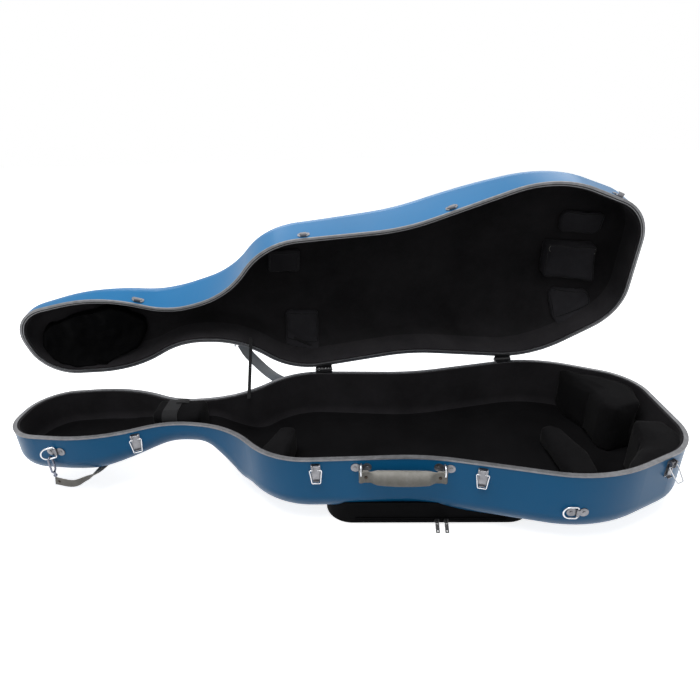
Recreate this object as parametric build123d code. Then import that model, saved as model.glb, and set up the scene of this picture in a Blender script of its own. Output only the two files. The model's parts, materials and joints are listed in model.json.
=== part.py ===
from build123d import *
import math
import os

# Cello case lying open on its back. X runs from the head end to the lower end, Y from the latch side
# to the hinge side, Z up. Pieces are drawn in the closed frame, where Z = 0 is the parting plane, and
# the lid is then turned open about the hinge axis. The origin is on the ground.

# Outline of the shells, half of it, as the corners of a polygon and the radius at each corner.
HEAD_END_X = -692.0
LOWER_END_X = 692.0
HEAD_HALF = 86.0
HEAD_ROUND = 84.0
HEAD_WIDEST_X = -487.0
HEAD_WIDEST_HALF = 108.0
HEAD_SIDE_ROUND = 300.0
NECK_TOP_X = -354.0
NECK_TOP_HALF = 44.0
NECK_TOP_ROUND = 165.0
NECK_FOOT_X = -222.0
NECK_FOOT_HALF = 64.0
NECK_FOOT_ROUND = 198.0
UPPER_BOUT_X = -114.0
UPPER_BOUT_HALF = 177.5
UPPER_BOUT_ROUND = 160.0
WAIST_X = 176.0
WAIST_HALF = 166.5
WAIST_ROUND = 445.0
LOWER_BOUT_X = 482.0
LOWER_BOUT_HALF = 239.0
LOWER_BOUT_ROUND = 250.0
END_CORNER_HALF = 132.0
END_CORNER_ROUND = 117.0

# Depths of the two shells at the places along the case, measured from the parting plane.
BASE_HEAD_DEPTH = 97.0
BASE_NECK_DEPTH = 62.0
BASE_SHOULDER_DEPTH = 128.0
BASE_BODY_DEPTH = 137.0
LID_HEAD_DEPTH = 38.0
LID_NAPE_DEPTH = 86.0
LID_NECK_DEPTH = 142.0
LID_BRIDGE_DEPTH = 174.0
LID_END_DEPTH = 112.0
LID_CROWN_RADIUS = 380.0
SHELL_ROUND = 44.0
REACH = 800.0

# Walls, linings and rims.
SHELL_WALL = 3.5
LINING = 7.0
SEAT_GAP = 0.1
BASE_SEAM = 14.0
LID_SEAM_Z = 62.0
RIM_PROUD = 1.2
RIM_WIDTH = 7.0
RIM_TOP = 2.5
RIM_LEG = 3.6
PARTING_GAP = 0.3
LID_RIM_TOP = 3.5
GASKET_FROM = 3.2
GASKET_WIDTH = 2.4
GASKET_DEPTH = 2.2
GROOVE_WALL = 0.8

# Height of the parting plane, and the pouch under the base.
POUCH_DROP = 23.0
RIM_Z = BASE_BODY_DEPTH + POUCH_DROP

# Hinges and the open lid.
LID_ANGLE = 75.0
HINGE_SLANT = 5.7
HINGE_AXIS_Y = 190.6
HINGE_X = (-40.0, 411.0)
HINGE_LENGTH = 40.0
BARREL_RADIUS = 5.0
PIN_RADIUS = 2.0
RUN_GAP = 0.06
KNUCKLE_GAP = 0.3
LEAF = 1.6
LEAF_REACH = 40.0
KNUCKLES = 5
PIN_HEAD = 1.2
PIN_HEAD_RADIUS = 3.5

# Draw latches on the base and their catches on the lid.
LATCH_X = (-415.0, -31.0, 276.0, 620.0)
LATCH_PLATE_WIDTH = 18.0
LATCH_PLATE_TOP = -9.0
LATCH_PLATE_BOTTOM = -46.0
LATCH_PLATE_ROUND = 3.0
LATCH_RIVET_Y = (-24.0, -38.0)
PLATE_SHEET = 1.5
PLATE_ROOT = 6.0
EAR_SHEET = 1.5
EAR_RADIUS = 3.0
LEVER_PIVOT_Y = -12.0
LEVER_PIVOT_OUT = 6.0
LEVER_PIN_RADIUS = 1.2
LEVER_PIN_HEAD = 0.7
LEVER_WIDTH = 12.0
LEVER_SHEET = 1.2
LEVER_BACK = 3.2
LEVER_TOP = -10.0
LEVER_FOOT = -46.0
LEVER_FLANGE_DEPTH = 5.4
LEVER_FLANGE_FOOT = -27.0
LEVER_LIP = 3.6
LEVER_FLANGE_CUT = 3.0
BAIL_PIVOT_Y = -19.5
BAIL_PIVOT_OUT = 7.0
BAIL_WIRE = 1.05
BAIL_LENGTH = 30.5
BAIL_HALF_TOP = 11.5
BAIL_HALF_END = 7.8
BAIL_LEANS = (0.0, 0.0, 0.0, 40.0)
BAIL_BEND = 2.0
BAIL_SIDE_GAP = 0.6
CATCH_FOOT = 9.0
CATCH_HEIGHT = 16.0
CATCH_HALF_WIDTH = 12.5
CATCH_LIP_HALF = 6.5
CATCH_LIP_OUT = 8.5
CATCH_LIP_RISE = 5.5
CATCH_SLOPE = 6.0
CATCH_RIVET_X = 6.5
CATCH_RIVET_Y = 20.0

# Strap rings, and the plates with a barrel in the middle that hold them.
RING_LOBE = 9.0
RING_LOBE_X = 10.5
RING_BARREL_RADIUS = 3.2
RING_BARREL_OUT = 3.0
RING_WIRE = 1.6
RING_BARREL_LENGTH = 15.0
RING_HALF = 12.5
RING_REACH = 25.5
RING_CORNER = 3.5
LOWER_RING_X = 442.0
LOWER_RING_Z = -81.0
HEAD_RING_X = -571.0
HEAD_RING_Z = -32.0
HEAD_RING_LIFT = 35.0
LID_RING_X = -232.0
LID_RING_Z = 26.0

# Rivets.
RIVET_HEAD_RADIUS = 2.6
RIVET_HEAD = 1.2
RIVET_SHANK = 1.5
RIVET_SHORT = 0.6
RIVET_X = 11.5

# Carrying handle, hung on two rings.
HANDLE_RING_X = (54.0, 209.0)
HANDLE_Z = -20.0
HANDLE_RING_HALF = 11.5
HANDLE_RING_REACH = 17.5
HANDLE_RING_CORNER = 3.0
HANDLE_LOOP_LEAN = 50.0
HANDLE_LOOP_SPAN = 44.0
HANDLE_LOOP_WALL = 2.2
HANDLE_LOOP_GAP = 0.35
GRIP_HALF_LENGTH = 62.0
GRIP_RADIUS = 14.0
GRIP_END_RADIUS = 11.0
GRIP_OUT = 15.5
GRIP_DROP = 11.0
HANDLE_TAB = 3.6
HANDLE_TAB_HALF = 6.5
HANDLE_RIVET_X = 68.0
HANDLE_RIVET_RADIUS = 3.0
GRIP_END_ROUND = 5.0
TAB_OVERLAP = 6.0

# Foam pads in the base, as plans of corners and corner radii, each with the height of its top.
SOFT_GAP = 0.3
BLOCK_TOP = -10.0
HINGE_BLOCK = (
    ((530, 230), 20),
    ((560, 150), 25),
    ((583, 98), 14),
    ((586, 26), 12),
    ((604, 9), 10),
    ((664, 32), 12),
    ((683, 125), 20),
    ((640, 230), 20),
)
LATCH_BLOCK = (
    ((617, -32), 10),
    ((672, -39), 12),
    ((690, -120), 20),
    ((640, -225), 20),
    ((525, -225), 20),
    ((548, -170), 30),
    ((600, -110), 60),
)
CURVED_PAD_TOP = -85.0
CURVED_PAD = (
    ((464, 52), 10),
    ((487, 63), 10),
    ((508, 48), 12),
    ((535, -40), 60),
    ((530, -112), 14),
    ((478, -112), 14),
    ((472, -45), 60),
)
UPPER_BOUT_PAD_TOP = -60.0
UPPER_BOUT_PAD = (
    ((-165, -83), 10),
    ((-158, -45), 20),
    ((-130, 27), 12),
    ((-94, 25), 12),
    ((-98, -30), 30),
    ((-110, -90), 12),
)
FOAM_EDGE = 8.0
NECK_REST_TOP = 12.0
NECK_REST_HALF = 34.0
NECK_REST_FROM = -391.0
NECK_REST_TO = -289.0
NECK_REST_ROUND = 16.0
NECK_BAND_FROM = -369.0
NECK_BAND_TO = -337.0
NECK_BAND_SHEET = 2.5

# Pads and pockets on the inside of the lid's crown, as plans, each with its thickness.
CROWN_PIECE_FOOT = 10.0
BOW_CLIP_DEPTH = 14.0
BOW_CLIP_ROUND = 10.0
BOW_CLIPS = (
    ((-118, 74), (-36, 88), (-50, 194), (-136, 181)),
    ((-125, -101), (-52, -90), (-63, -30), (-138, -41)),
)
BOW_POCKET_DEPTH = 12.0
BOW_POCKET_ROUND = 18.0
BOW_POCKETS = (
    ((548, -104), (654, -84), (654, -28), (560, -42)),
    ((548, 106), (652, 118), (640, 180), (560, 190)),
)
ROSIN_POUCH_DEPTH = 30.0
ROSIN_POUCH_ROUND = 8.0
ROSIN_POUCH = ((530, -22), (648, -4), (652, 88), (528, 66))
ACCESSORY_BAG_DEPTH = 22.0
ACCESSORY_BAG_ROUND = 30.0
ACCESSORY_BAG = (
    (-650, -24),
    (-572, -44),
    (-482, -36),
    (-440, 24),
    (-476, 70),
    (-561, 92),
    (-650, 92),
    (-672, 20),
)

# Strap with a snap hook at each end, slung under the head.
STRAP_SHEET = 2.5
STRAP_HALF = 10.0
CARRY_HALF = 13.0
HOOK_WIRE = 1.9
HOOK_HALF = 6.3
HOOK_LENGTH = 36.0
HOOK_SWIVEL = 13.3
SWIVEL_RADIUS = 2.6
SWIVEL_LENGTH = 8.0
SWIVEL_EYE_DROP = 9.0
SWIVEL_EYE_RADIUS = 4.0

# Music pouch under the base, and its two-way zip.
POUCH_FROM_X = -20.0
POUCH_TO_X = 395.0
POUCH_HALF = 172.0
POUCH_CORNER = 55.0
POUCH_TOP = -106.0
POUCH_WALL = 4.0
POUCH_EDGE = 3.5
ZIP_Z = -148.0
ZIP_FROM_X = 40.0
ZIP_TO_X = 335.0
ZIP_TAPE = 10.0
ZIP_COIL = 2.0
SLIDER_X = (200.0, 218.0)
SLIDER_SIZE = 9.0
SLIDER_BACK = 1.6
SLIDER_FRONT = 5.5
SLIDER_ROUND = 2.0
BRIDGE_HALF = 1.0
BRIDGE_FRONT = 9.0
BRIDGE_ROOT = 0.5
BRIDGE_REACH = 3.0
PULL_BAR_RADIUS = 0.9
PULL_BAR_LENGTH = 6.0
PULL_OUT = 7.4
PULL_DROP = 1.0
PULL_HALF_WIDTH = 3.6
PULL_FORK = 3.4
PULL_HOLE = 1.6
PRONG_X = 2.4
PRONG_ROOT = 4.0
PULL_LENGTH = 20.0
PULL_LEAN = 60.0
COIL_OUT = 1.2

# Stay strap between the rims and carry strap behind the case.
STAY_X = -200.0
STAY_INSET = 26.4
STAY_DROP = 9.0
STAY_WIDTH = 7.0
STAY_SHEET = 1.5

# Plans are cut far beyond the case, and slopes are measured over a short step.
FAR = 60.0
SLOPE_STEP = 2.0


def half_outline():
    """Corners of the latch-side half, from the head end to the lower end, with their radii."""
    return (
        (HEAD_END_X, HEAD_HALF, HEAD_ROUND),
        (HEAD_WIDEST_X, HEAD_WIDEST_HALF, HEAD_SIDE_ROUND),
        (NECK_TOP_X, NECK_TOP_HALF, NECK_TOP_ROUND),
        (NECK_FOOT_X, NECK_FOOT_HALF, NECK_FOOT_ROUND),
        (UPPER_BOUT_X, UPPER_BOUT_HALF, UPPER_BOUT_ROUND),
        (WAIST_X, WAIST_HALF, WAIST_ROUND),
        (LOWER_BOUT_X, LOWER_BOUT_HALF, LOWER_BOUT_ROUND),
        (LOWER_END_X, END_CORNER_HALF, END_CORNER_ROUND),
    )


def outline(inset):
    """Plan of the case as a face, drawn in by inset."""
    half = half_outline()
    points = [(x, -y) for x, y, r in half] + [(x, y) for x, y, r in reversed(half)]
    radii = [r for x, y, r in half] + [r for x, y, r in reversed(half)]
    face = make_face(FilletPolyline(*points, radius=radii, close=True))
    return offset(face, -inset) if inset else face


def band(inset_a, inset_b, low, high):
    """A band that follows the outline between two insets and two heights."""
    plan = outline(inset_a) - outline(inset_b)
    return Pos(0, 0, low) * extrude(plan, amount=high - low)


def base_profile(rise):
    """Underside of the base seen from the side."""
    corners = (
        (-REACH, -BASE_HEAD_DEPTH),
        (-500, -BASE_HEAD_DEPTH),
        (-360, -BASE_NECK_DEPTH),
        (-275, -BASE_NECK_DEPTH),
        (-190, -BASE_SHOULDER_DEPTH),
        (150, -BASE_BODY_DEPTH),
        (REACH, -BASE_BODY_DEPTH),
    )
    return FilletPolyline(*[(x, z + rise) for x, z in corners], radius=(200, 200, 60, 70, 2000))


def above_base_profile(rise):
    """Everything above the base's underside, raised by rise."""
    low = base_profile(rise)
    sides = Polyline(low @ 1, (REACH, REACH), (-REACH, REACH), low @ 0)
    return extrude(Plane.XZ * make_face([low, sides]), amount=REACH, both=True)


def lid_barrel(inset):
    """Everything inside the lid's crown, a barrel that turns about a lengthwise axis."""
    corners = (
        (-REACH, LID_HEAD_DEPTH),
        (-470, LID_NAPE_DEPTH),
        (-320, LID_NECK_DEPTH),
        (-40, LID_NECK_DEPTH),
        (300, LID_BRIDGE_DEPTH),
        (REACH, LID_END_DEPTH),
    )
    axis_z = LID_BRIDGE_DEPTH - LID_CROWN_RADIUS
    top = FilletPolyline(*[(x, z - inset) for x, z in corners], radius=(400, 350, 1500, 900))
    sides = Polyline(top @ 1, (REACH, axis_z), (-REACH, axis_z), top @ 0)
    return revolve(Plane.XZ * make_face([top, sides]), Axis((0, 0, axis_z), (1, 0, 0)))


def rounded(body, radius, sign):
    """The body with the edge between its walls and its crown or floor rounded."""
    crown = [face for face in body.faces() if sign * face.normal_at().Z > 0.5 and abs(face.center().Z) > 1]
    walls = [face for face in body.faces() if abs(face.normal_at().Z) < 0.2]
    wall_edges = {hash(edge) for face in walls for edge in face.edges()}
    loop = [edge for face in crown for edge in face.edges() if hash(edge) in wall_edges]
    return body.fillet(radius, loop)


def base_form(inset):
    """The space inside the base's outer face, drawn in by inset."""
    deep = BASE_BODY_DEPTH + 2 * SHELL_ROUND
    walls = extrude(outline(inset), amount=-deep)
    return rounded((walls & above_base_profile(inset)).solids()[0], SHELL_ROUND - inset, -1)


def lid_form(inset):
    """The space inside the lid's outer face, drawn in by inset."""
    walls = extrude(outline(inset), amount=LID_BRIDGE_DEPTH + SHELL_ROUND)
    return rounded((walls & lid_barrel(inset)).solids()[0], SHELL_ROUND - inset, 1)


def slab(low, high):
    """Everything between two heights."""
    return Pos(0, 0, (low + high) / 2) * Box(2 * REACH, 2 * REACH, high - low)


SLANT = math.radians(HINGE_SLANT)
hinge_axis = Axis((0, HINGE_AXIS_Y, 0), (math.cos(SLANT), math.sin(SLANT), 0))
plan = outline(0)


def wall_y(x, side):
    """Distance of the outer wall from the middle line at x, signed."""
    reach = plan & Line((x, 0), (x, side * REACH))
    return max((vertex.Y for vertex in reach.vertices()), key=abs)


def wall_frame(x, side, z=0.0):
    """Frame on the outer wall: its x runs along the wall, its y up and its z outwards."""
    rise = wall_y(x + SLOPE_STEP, side) - wall_y(x - SLOPE_STEP, side)
    along = Vector(2 * SLOPE_STEP, rise, 0) * -side
    return Plane(origin=(x, wall_y(x, side), z), x_dir=along, z_dir=along.cross(Vector(0, 0, 1)))


def rod(radius, length, x=0.0, y=0.0, z=0.0, turn=(0, 0, 0)):
    """A round bar centred on a point."""
    return Pos(x, y, z) * Rot(*turn) * Cylinder(radius, length)


def block(x0, x1, y0, y1, z0, z1):
    """A box between two corners."""
    return Pos((x0 + x1) / 2, (y0 + y1) / 2, (z0 + z1) / 2) * Box(x1 - x0, y1 - y0, z1 - z0)


def prism(corners, radii, low, high):
    """An upright block over a rounded polygon."""
    face = make_face(FilletPolyline(*corners, radius=radii, close=True))
    return Pos(0, 0, low) * extrude(face, amount=high - low)


def rivet(x, y):
    """A rivet through a plate and the shell wall."""
    head = Pos(x, y, PLATE_SHEET + RIVET_HEAD / 2) * Cylinder(RIVET_HEAD_RADIUS, RIVET_HEAD)
    head = fillet(head.edges().group_by(Axis.Z)[-1], RIVET_HEAD * 0.6)
    shank = PLATE_SHEET + SHELL_WALL - RIVET_SHORT
    return head + rod(RIVET_SHANK, shank, x, y, PLATE_SHEET - shank / 2)


def rivet_hole(x, y):
    """The hole that a rivet fills."""
    return rod(RIVET_SHANK + SEAT_GAP / 2, 6 * PLATE_ROOT, x, y)


def latch_plate():
    """Base plate of a draw latch, with the two ears that carry the lever's pin."""
    height = LATCH_PLATE_TOP - LATCH_PLATE_BOTTOM
    middle = (LATCH_PLATE_TOP + LATCH_PLATE_BOTTOM) / 2
    shape = RectangleRounded(LATCH_PLATE_WIDTH, height, LATCH_PLATE_ROUND)
    sheet = Pos(0, middle, -PLATE_ROOT) * extrude(shape, amount=PLATE_ROOT + PLATE_SHEET)
    ear_x = LEVER_WIDTH / 2 + 2 * SEAT_GAP + EAR_SHEET / 2
    for x in (-ear_x, ear_x):
        foot = LEVER_PIVOT_Y - EAR_RADIUS
        top = LEVER_PIVOT_Y + EAR_RADIUS
        root = block(x - EAR_SHEET / 2, x + EAR_SHEET / 2, foot, top, 0, LEVER_PIVOT_OUT)
        sheet += root + rod(EAR_RADIUS, EAR_SHEET, x, LEVER_PIVOT_Y, LEVER_PIVOT_OUT, (0, 90, 0))
    bore = rod(LEVER_PIN_RADIUS + SEAT_GAP / 2, FAR, 0, LEVER_PIVOT_Y, LEVER_PIVOT_OUT, (0, 90, 0))
    return sheet - bore - [rivet_hole(0, y) for y in LATCH_RIVET_Y]


def latch_pin():
    """Headed pin through the ears of a latch."""
    half = LEVER_WIDTH / 2 + 2 * SEAT_GAP + EAR_SHEET + SEAT_GAP
    pin = rod(LEVER_PIN_RADIUS, 2 * half, turn=(0, 90, 0))
    for x in (-half, half):
        middle = x + math.copysign(LEVER_PIN_HEAD / 2, x)
        pin += rod(LEVER_PIN_RADIUS + LEVER_PIN_HEAD, LEVER_PIN_HEAD, middle, turn=(0, 90, 0))
    return Pos(0, LEVER_PIVOT_Y, LEVER_PIVOT_OUT) * pin


def latch_lever():
    """Lever of a draw latch: a channel that hangs from the pin, with a lip to lift it by."""
    half = LEVER_WIDTH / 2
    front = LEVER_BACK + LEVER_SHEET
    lever = block(-half, half, LEVER_FOOT, LEVER_TOP, LEVER_BACK, front)
    lever += block(-half, half, LEVER_FOOT, LEVER_FOOT + LEVER_SHEET, front, front + LEVER_LIP)
    depth = LEVER_BACK + LEVER_FLANGE_DEPTH
    for x in (-half, half - LEVER_SHEET):
        flange = block(x, x + LEVER_SHEET, LEVER_FLANGE_FOOT, LEVER_TOP, front, depth)
        lower_corner = flange.edges().filter_by(Axis.X).group_by(Axis.Z)[-1].sort_by(Axis.Y)[:1]
        lever += chamfer(lower_corner, LEVER_FLANGE_CUT)
    lever -= rod(LEVER_PIN_RADIUS + RUN_GAP, FAR, 0, LEVER_PIVOT_Y, LEVER_PIVOT_OUT, (0, 90, 0))
    return lever - rod(BAIL_WIRE + RUN_GAP, FAR, 0, BAIL_PIVOT_Y, BAIL_PIVOT_OUT, (0, 90, 0))


def bail(lean):
    """Wire bail of a draw latch, hinged in the lever and hanging down over it."""
    inner = LEVER_WIDTH / 2 - LEVER_SHEET - BAIL_SIDE_GAP
    half = (
        (inner, 0),
        (BAIL_HALF_TOP, 0),
        (BAIL_HALF_END, -BAIL_LENGTH),
    )
    points = list(half) + [(-x, y) for x, y in reversed(half)]
    path = FilletPolyline(*points, radius=BAIL_BEND)
    wire = sweep(Plane(path @ 0, z_dir=path % 0) * Circle(BAIL_WIRE), path, transition=Transition.ROUND)
    return Pos(0, BAIL_PIVOT_Y, BAIL_PIVOT_OUT) * Rot(-lean, 0, 0) * wire


def catch():
    """Catch on the lid: a plate on two rivets, with a lip that the bail hooks over."""
    top = CATCH_FOOT + CATCH_HEIGHT
    corners = (
        (-CATCH_LIP_HALF, CATCH_FOOT),
        (CATCH_LIP_HALF, CATCH_FOOT),
        (CATCH_HALF_WIDTH, CATCH_FOOT + CATCH_SLOPE),
        (CATCH_HALF_WIDTH, top),
        (-CATCH_HALF_WIDTH, top),
        (-CATCH_HALF_WIDTH, CATCH_FOOT + CATCH_SLOPE),
    )
    sheet = prism(corners, [0.5, 0.5, 2, 4, 4, 2], -PLATE_ROOT, PLATE_SHEET)
    foot = CATCH_FOOT + PLATE_SHEET
    half = CATCH_LIP_HALF
    sheet += block(-half, half, CATCH_FOOT, foot, 0, CATCH_LIP_OUT)
    inner = CATCH_LIP_OUT - PLATE_SHEET
    sheet += block(-half, half, CATCH_FOOT, CATCH_FOOT + CATCH_LIP_RISE, inner, CATCH_LIP_OUT)
    return sheet - [rivet_hole(x, CATCH_RIVET_Y) for x in (-CATCH_RIVET_X, CATCH_RIVET_X)]


def ring_plate():
    """Two-lobed plate with an upright barrel for a ring."""
    shape = Pos(-RING_LOBE_X, 0) * Circle(RING_LOBE) + Pos(RING_LOBE_X, 0) * Circle(RING_LOBE)
    shape += Rectangle(2 * RING_LOBE_X, RING_BARREL_LENGTH - 2)
    sheet = Pos(0, 0, -PLATE_ROOT) * extrude(shape, amount=PLATE_ROOT + PLATE_SHEET)
    sheet += rod(RING_BARREL_RADIUS, RING_BARREL_LENGTH, z=RING_BARREL_OUT, turn=(90, 0, 0))
    sheet -= rod(RING_WIRE + RUN_GAP, FAR, z=RING_BARREL_OUT, turn=(90, 0, 0))
    return sheet - [rivet_hole(x, 0) for x in (-RIVET_X, RIVET_X)]


def ring(half, reach, corner, swing):
    """D-shaped wire ring with its straight bar in the barrel, swung out from the wall."""
    corners = ((0, -half), (-reach, -half), (-reach, half), (0, half))
    round_end = half - 0.05
    path = FilletPolyline(*corners, radius=[corner, round_end, round_end, corner], close=True)
    wire = sweep(Plane(path @ 0, z_dir=path % 0) * Circle(RING_WIRE), path)
    return Pos(0, 0, RING_BARREL_OUT) * Rot(0, swing, 0) * wire


def handle_frame():
    """Frame at the middle of the handle: x from ring to ring, y up, z outwards."""
    ends = [wall_frame(x, -1, HANDLE_Z).offset(RING_BARREL_OUT).origin for x in HANDLE_RING_X]
    along = ends[1] - ends[0]
    middle = (ends[0] + ends[1]) / 2
    return Plane(origin=middle, x_dir=along, z_dir=along.cross(Vector(0, 0, 1))), along.length / 2


def loop_centre():
    """Middle of a handle loop, seen along the handle: out from the wall and up."""
    lean = math.radians(HANDLE_LOOP_LEAN)
    centre = HANDLE_RING_REACH - HANDLE_RING_HALF
    return centre + HANDLE_RING_HALF * math.cos(lean), -HANDLE_RING_HALF * math.sin(lean)


def handle_ring(x):
    """Wire ring of the handle, square to the wall."""
    wire = ring(HANDLE_RING_HALF, HANDLE_RING_REACH, HANDLE_RING_CORNER, 0)
    return Pos(x, 0, 0) * Rot(0, 90, 0) * Pos(0, 0, -RING_BARREL_OUT) * wire


def handle_loop(x, radius):
    """A sleeve that follows the bow of a ring, as the handle's leather does."""
    half = HANDLE_LOOP_SPAN / 2
    middle = (x, 0, HANDLE_RING_REACH - HANDLE_RING_HALF)
    centre = Plane(origin=middle, x_dir=(0, 0, 1), z_dir=(1, 0, 0))
    section = centre * Pos(HANDLE_RING_HALF, 0) * Rot(90, 0, 0) * Circle(radius)
    axis = Axis(centre.origin, (1, 0, 0))
    turned = revolve(section, axis, 2 * half)
    return turned.rotate(axis, HANDLE_LOOP_LEAN - half)


def handle_grip(half_span):
    """Padded grip with a leather tab and a loop at each end."""
    rim = Polyline((-GRIP_HALF_LENGTH, 0), (-GRIP_HALF_LENGTH, GRIP_END_RADIUS))
    crown = ThreePointArc(rim @ 1, (0, GRIP_RADIUS), (GRIP_HALF_LENGTH, GRIP_END_RADIUS))
    close = Polyline(crown @ 1, (GRIP_HALF_LENGTH, 0), (-GRIP_HALF_LENGTH, 0))
    grip = revolve(make_face([rim, crown, close]), Axis.X)
    grip = fillet(grip.edges().filter_by(GeomType.CIRCLE), GRIP_END_ROUND)
    grip = Pos(0, -GRIP_DROP, GRIP_OUT) * grip
    out, up = loop_centre()
    half = HANDLE_TAB_HALF
    back = out - HANDLE_TAB / 2
    bore = RING_WIRE + HANDLE_LOOP_GAP
    for x in (-half_span, half_span):
        inner = math.copysign(GRIP_HALF_LENGTH - TAB_OVERLAP, x)
        outer = x - math.copysign(bore + HANDLE_LOOP_GAP, x)
        tab = block(min(inner, outer), max(inner, outer), up - half, up + half, back, back + HANDLE_TAB)
        grip += tab + (handle_loop(x, bore + HANDLE_LOOP_WALL) - handle_loop(x, bore))
        grip -= handle_rivet(x, half_span, SEAT_GAP / 2)
    return grip


def handle_rivet(x, half_span, grow):
    """Rivet through a tab of the handle."""
    out, up = loop_centre()
    place = math.copysign(HANDLE_RIVET_X, x)
    middle = out + HANDLE_TAB / 2
    shank = rod(RIVET_SHANK + grow, HANDLE_TAB + 1, place, up, out)
    head = rod(HANDLE_RIVET_RADIUS + grow, RIVET_HEAD, place, up, middle + RIVET_HEAD / 2 + grow)
    return shank + head


def hinge_frame(x):
    """Frame on the hinge axis: x along the axis, y away from the case, z up."""
    y = HINGE_AXIS_Y + x * math.tan(SLANT)
    return Plane(origin=(x, y, 0), x_dir=hinge_axis.direction, z_dir=(0, 0, 1))


def knuckles(odd, radius, gap):
    """Every second knuckle of the hinge barrel."""
    pitch = HINGE_LENGTH / KNUCKLES
    shape = Part()
    for i in range(0 if odd else 1, KNUCKLES, 2):
        shape += rod(radius, pitch - gap, (i - KNUCKLES // 2) * pitch, turn=(0, 90, 0))
    return shape


def leaf(low, high, odd):
    """A hinge leaf with its knuckles, lying on a rim."""
    half = HINGE_LENGTH / 2
    sheet = block(-half, half, -LEAF_REACH, 0, low, high)
    sheet -= knuckles(not odd, BARREL_RADIUS + KNUCKLE_GAP, -KNUCKLE_GAP)
    sheet += knuckles(odd, BARREL_RADIUS, KNUCKLE_GAP)
    return sheet - rod(PIN_RADIUS + RUN_GAP, 2 * HINGE_LENGTH, turn=(0, 90, 0))


def leaf_recess(low, high):
    """The notch in a rim that a hinge leaf lies in."""
    half = HINGE_LENGTH / 2 + SEAT_GAP
    return block(-half, half, -LEAF_REACH - SEAT_GAP, 0, low, high)


def hinge_pin():
    """Headed pin of a hinge."""
    half = HINGE_LENGTH / 2 + KNUCKLE_GAP
    pin = rod(PIN_RADIUS, 2 * half, turn=(0, 90, 0))
    for side in (-1, 1):
        pin += rod(PIN_HEAD_RADIUS, PIN_HEAD, side * (half + PIN_HEAD / 2), turn=(0, 90, 0))
    return pin


def ribbon(edge_a, edge_b, thickness):
    """A flat strap between two smooth edges."""
    return thicken(Face.make_surface_from_curves(Spline(*edge_a), Spline(*edge_b)), thickness)


def both_ways(points):
    """The points and their mirror images, from the latch side to the hinge side."""
    return list(points) + [(x, -y, z) for x, y, z in reversed(points[:-1])]


def foam(corners, top):
    """A foam pad with a rounded top edge, from far below up to its top."""
    points = [point for point, radius in corners]
    radii = [radius for point, radius in corners]
    pad = prism(points, radii, -BASE_BODY_DEPTH, top)
    return fillet(pad.edges().group_by(Axis.Z)[-1], FOAM_EDGE)


def neck_wrap(x0, x1, grow):
    """The neck rest between two places, grown by the thickness of what wraps it."""
    half = NECK_REST_HALF + grow
    arch = block(x0, x1, -half, half, -BASE_NECK_DEPTH - SHELL_ROUND, NECK_REST_TOP + grow)
    return fillet(arch.edges().filter_by(Axis.X).group_by(Axis.Z)[-1], NECK_REST_ROUND + grow)


def crown_piece(crown, corners, radius, depth):
    """A padded piece that lies against the lid's crown."""
    column = prism(corners, [radius] * len(corners), CROWN_PIECE_FOOT, LID_BRIDGE_DEPTH)
    return (crown & column) - Pos(0, 0, -depth) * crown


def snap_hook(x, y, top):
    """Oval snap hook that hangs in a ring, with a swivel eye under it."""
    foot = top - HOOK_LENGTH
    front = y - HOOK_HALF
    back = y + HOOK_HALF
    corners = ((x, front, top), (x, back, top), (x, back, foot), (x, front, foot))
    path = FilletPolyline(*corners, radius=HOOK_HALF - SEAT_GAP, close=True)
    loop = sweep(Plane(path @ 0, z_dir=path % 0) * Circle(HOOK_WIRE), path)
    neck = rod(SWIVEL_RADIUS, SWIVEL_LENGTH, x, y, foot - SWIVEL_LENGTH / 2)
    return loop + neck + Pos(x, y, foot - SWIVEL_EYE_DROP) * Sphere(SWIVEL_EYE_RADIUS)


def pouch_body(inset, low):
    """Outside of the music pouch, drawn in by inset."""
    a = POUCH_FROM_X + inset
    b = POUCH_TO_X - inset
    half = POUCH_HALF - inset
    corners = ((a, -half), (b, -half), (b, half), (a, half))
    return prism(corners, POUCH_CORNER - inset, low, POUCH_TOP)


def zip_slider(x):
    """Body of a zip slider, round the coil."""
    y = -POUCH_HALF
    half = SLIDER_SIZE / 2
    low = ZIP_Z - BRIDGE_REACH
    body = block(x - half, x + half, y - SLIDER_FRONT, y - SLIDER_BACK, ZIP_Z - half, ZIP_Z + half)
    body = fillet(body.edges().filter_by(Axis.Y), SLIDER_ROUND)
    body -= rod(ZIP_COIL + KNUCKLE_GAP, FAR, x, y - COIL_OUT, ZIP_Z, (0, 90, 0))
    inner = y - SLIDER_FRONT + BRIDGE_ROOT
    bridge = block(x - BRIDGE_HALF, x + BRIDGE_HALF, y - BRIDGE_FRONT, inner, low, ZIP_Z + BRIDGE_REACH)
    return body + bridge - zip_pull_pin(x, RUN_GAP)


def zip_pull_pin(x, grow):
    """The cross bar of a zip pull."""
    y = -POUCH_HALF - PULL_OUT
    return rod(PULL_BAR_RADIUS + grow, PULL_BAR_LENGTH, x, y, ZIP_Z - PULL_DROP, (0, 90, 0))


def zip_pull(x):
    """Pull tab of a zip slider, with a hole near its end."""
    y = -POUCH_HALF - PULL_OUT
    top = ZIP_Z - PULL_DROP
    half = PULL_BAR_RADIUS
    wide = PULL_HALF_WIDTH
    tab = block(x - wide, x + wide, y - half, y + half, top - PULL_LENGTH, top - PULL_FORK)
    tab -= rod(PULL_HOLE, FAR, x, y, top - PULL_LENGTH + PULL_FORK, (90, 0, 0))
    for place in (x - PRONG_X, x + PRONG_X):
        tab += block(place - half, place + half, y - half, y + half, top - PRONG_ROOT, top + half)
    pull = tab + zip_pull_pin(x, 0)
    return pull.rotate(Axis((x, y, top), (1, 0, 0)), -PULL_LEAN)


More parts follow.
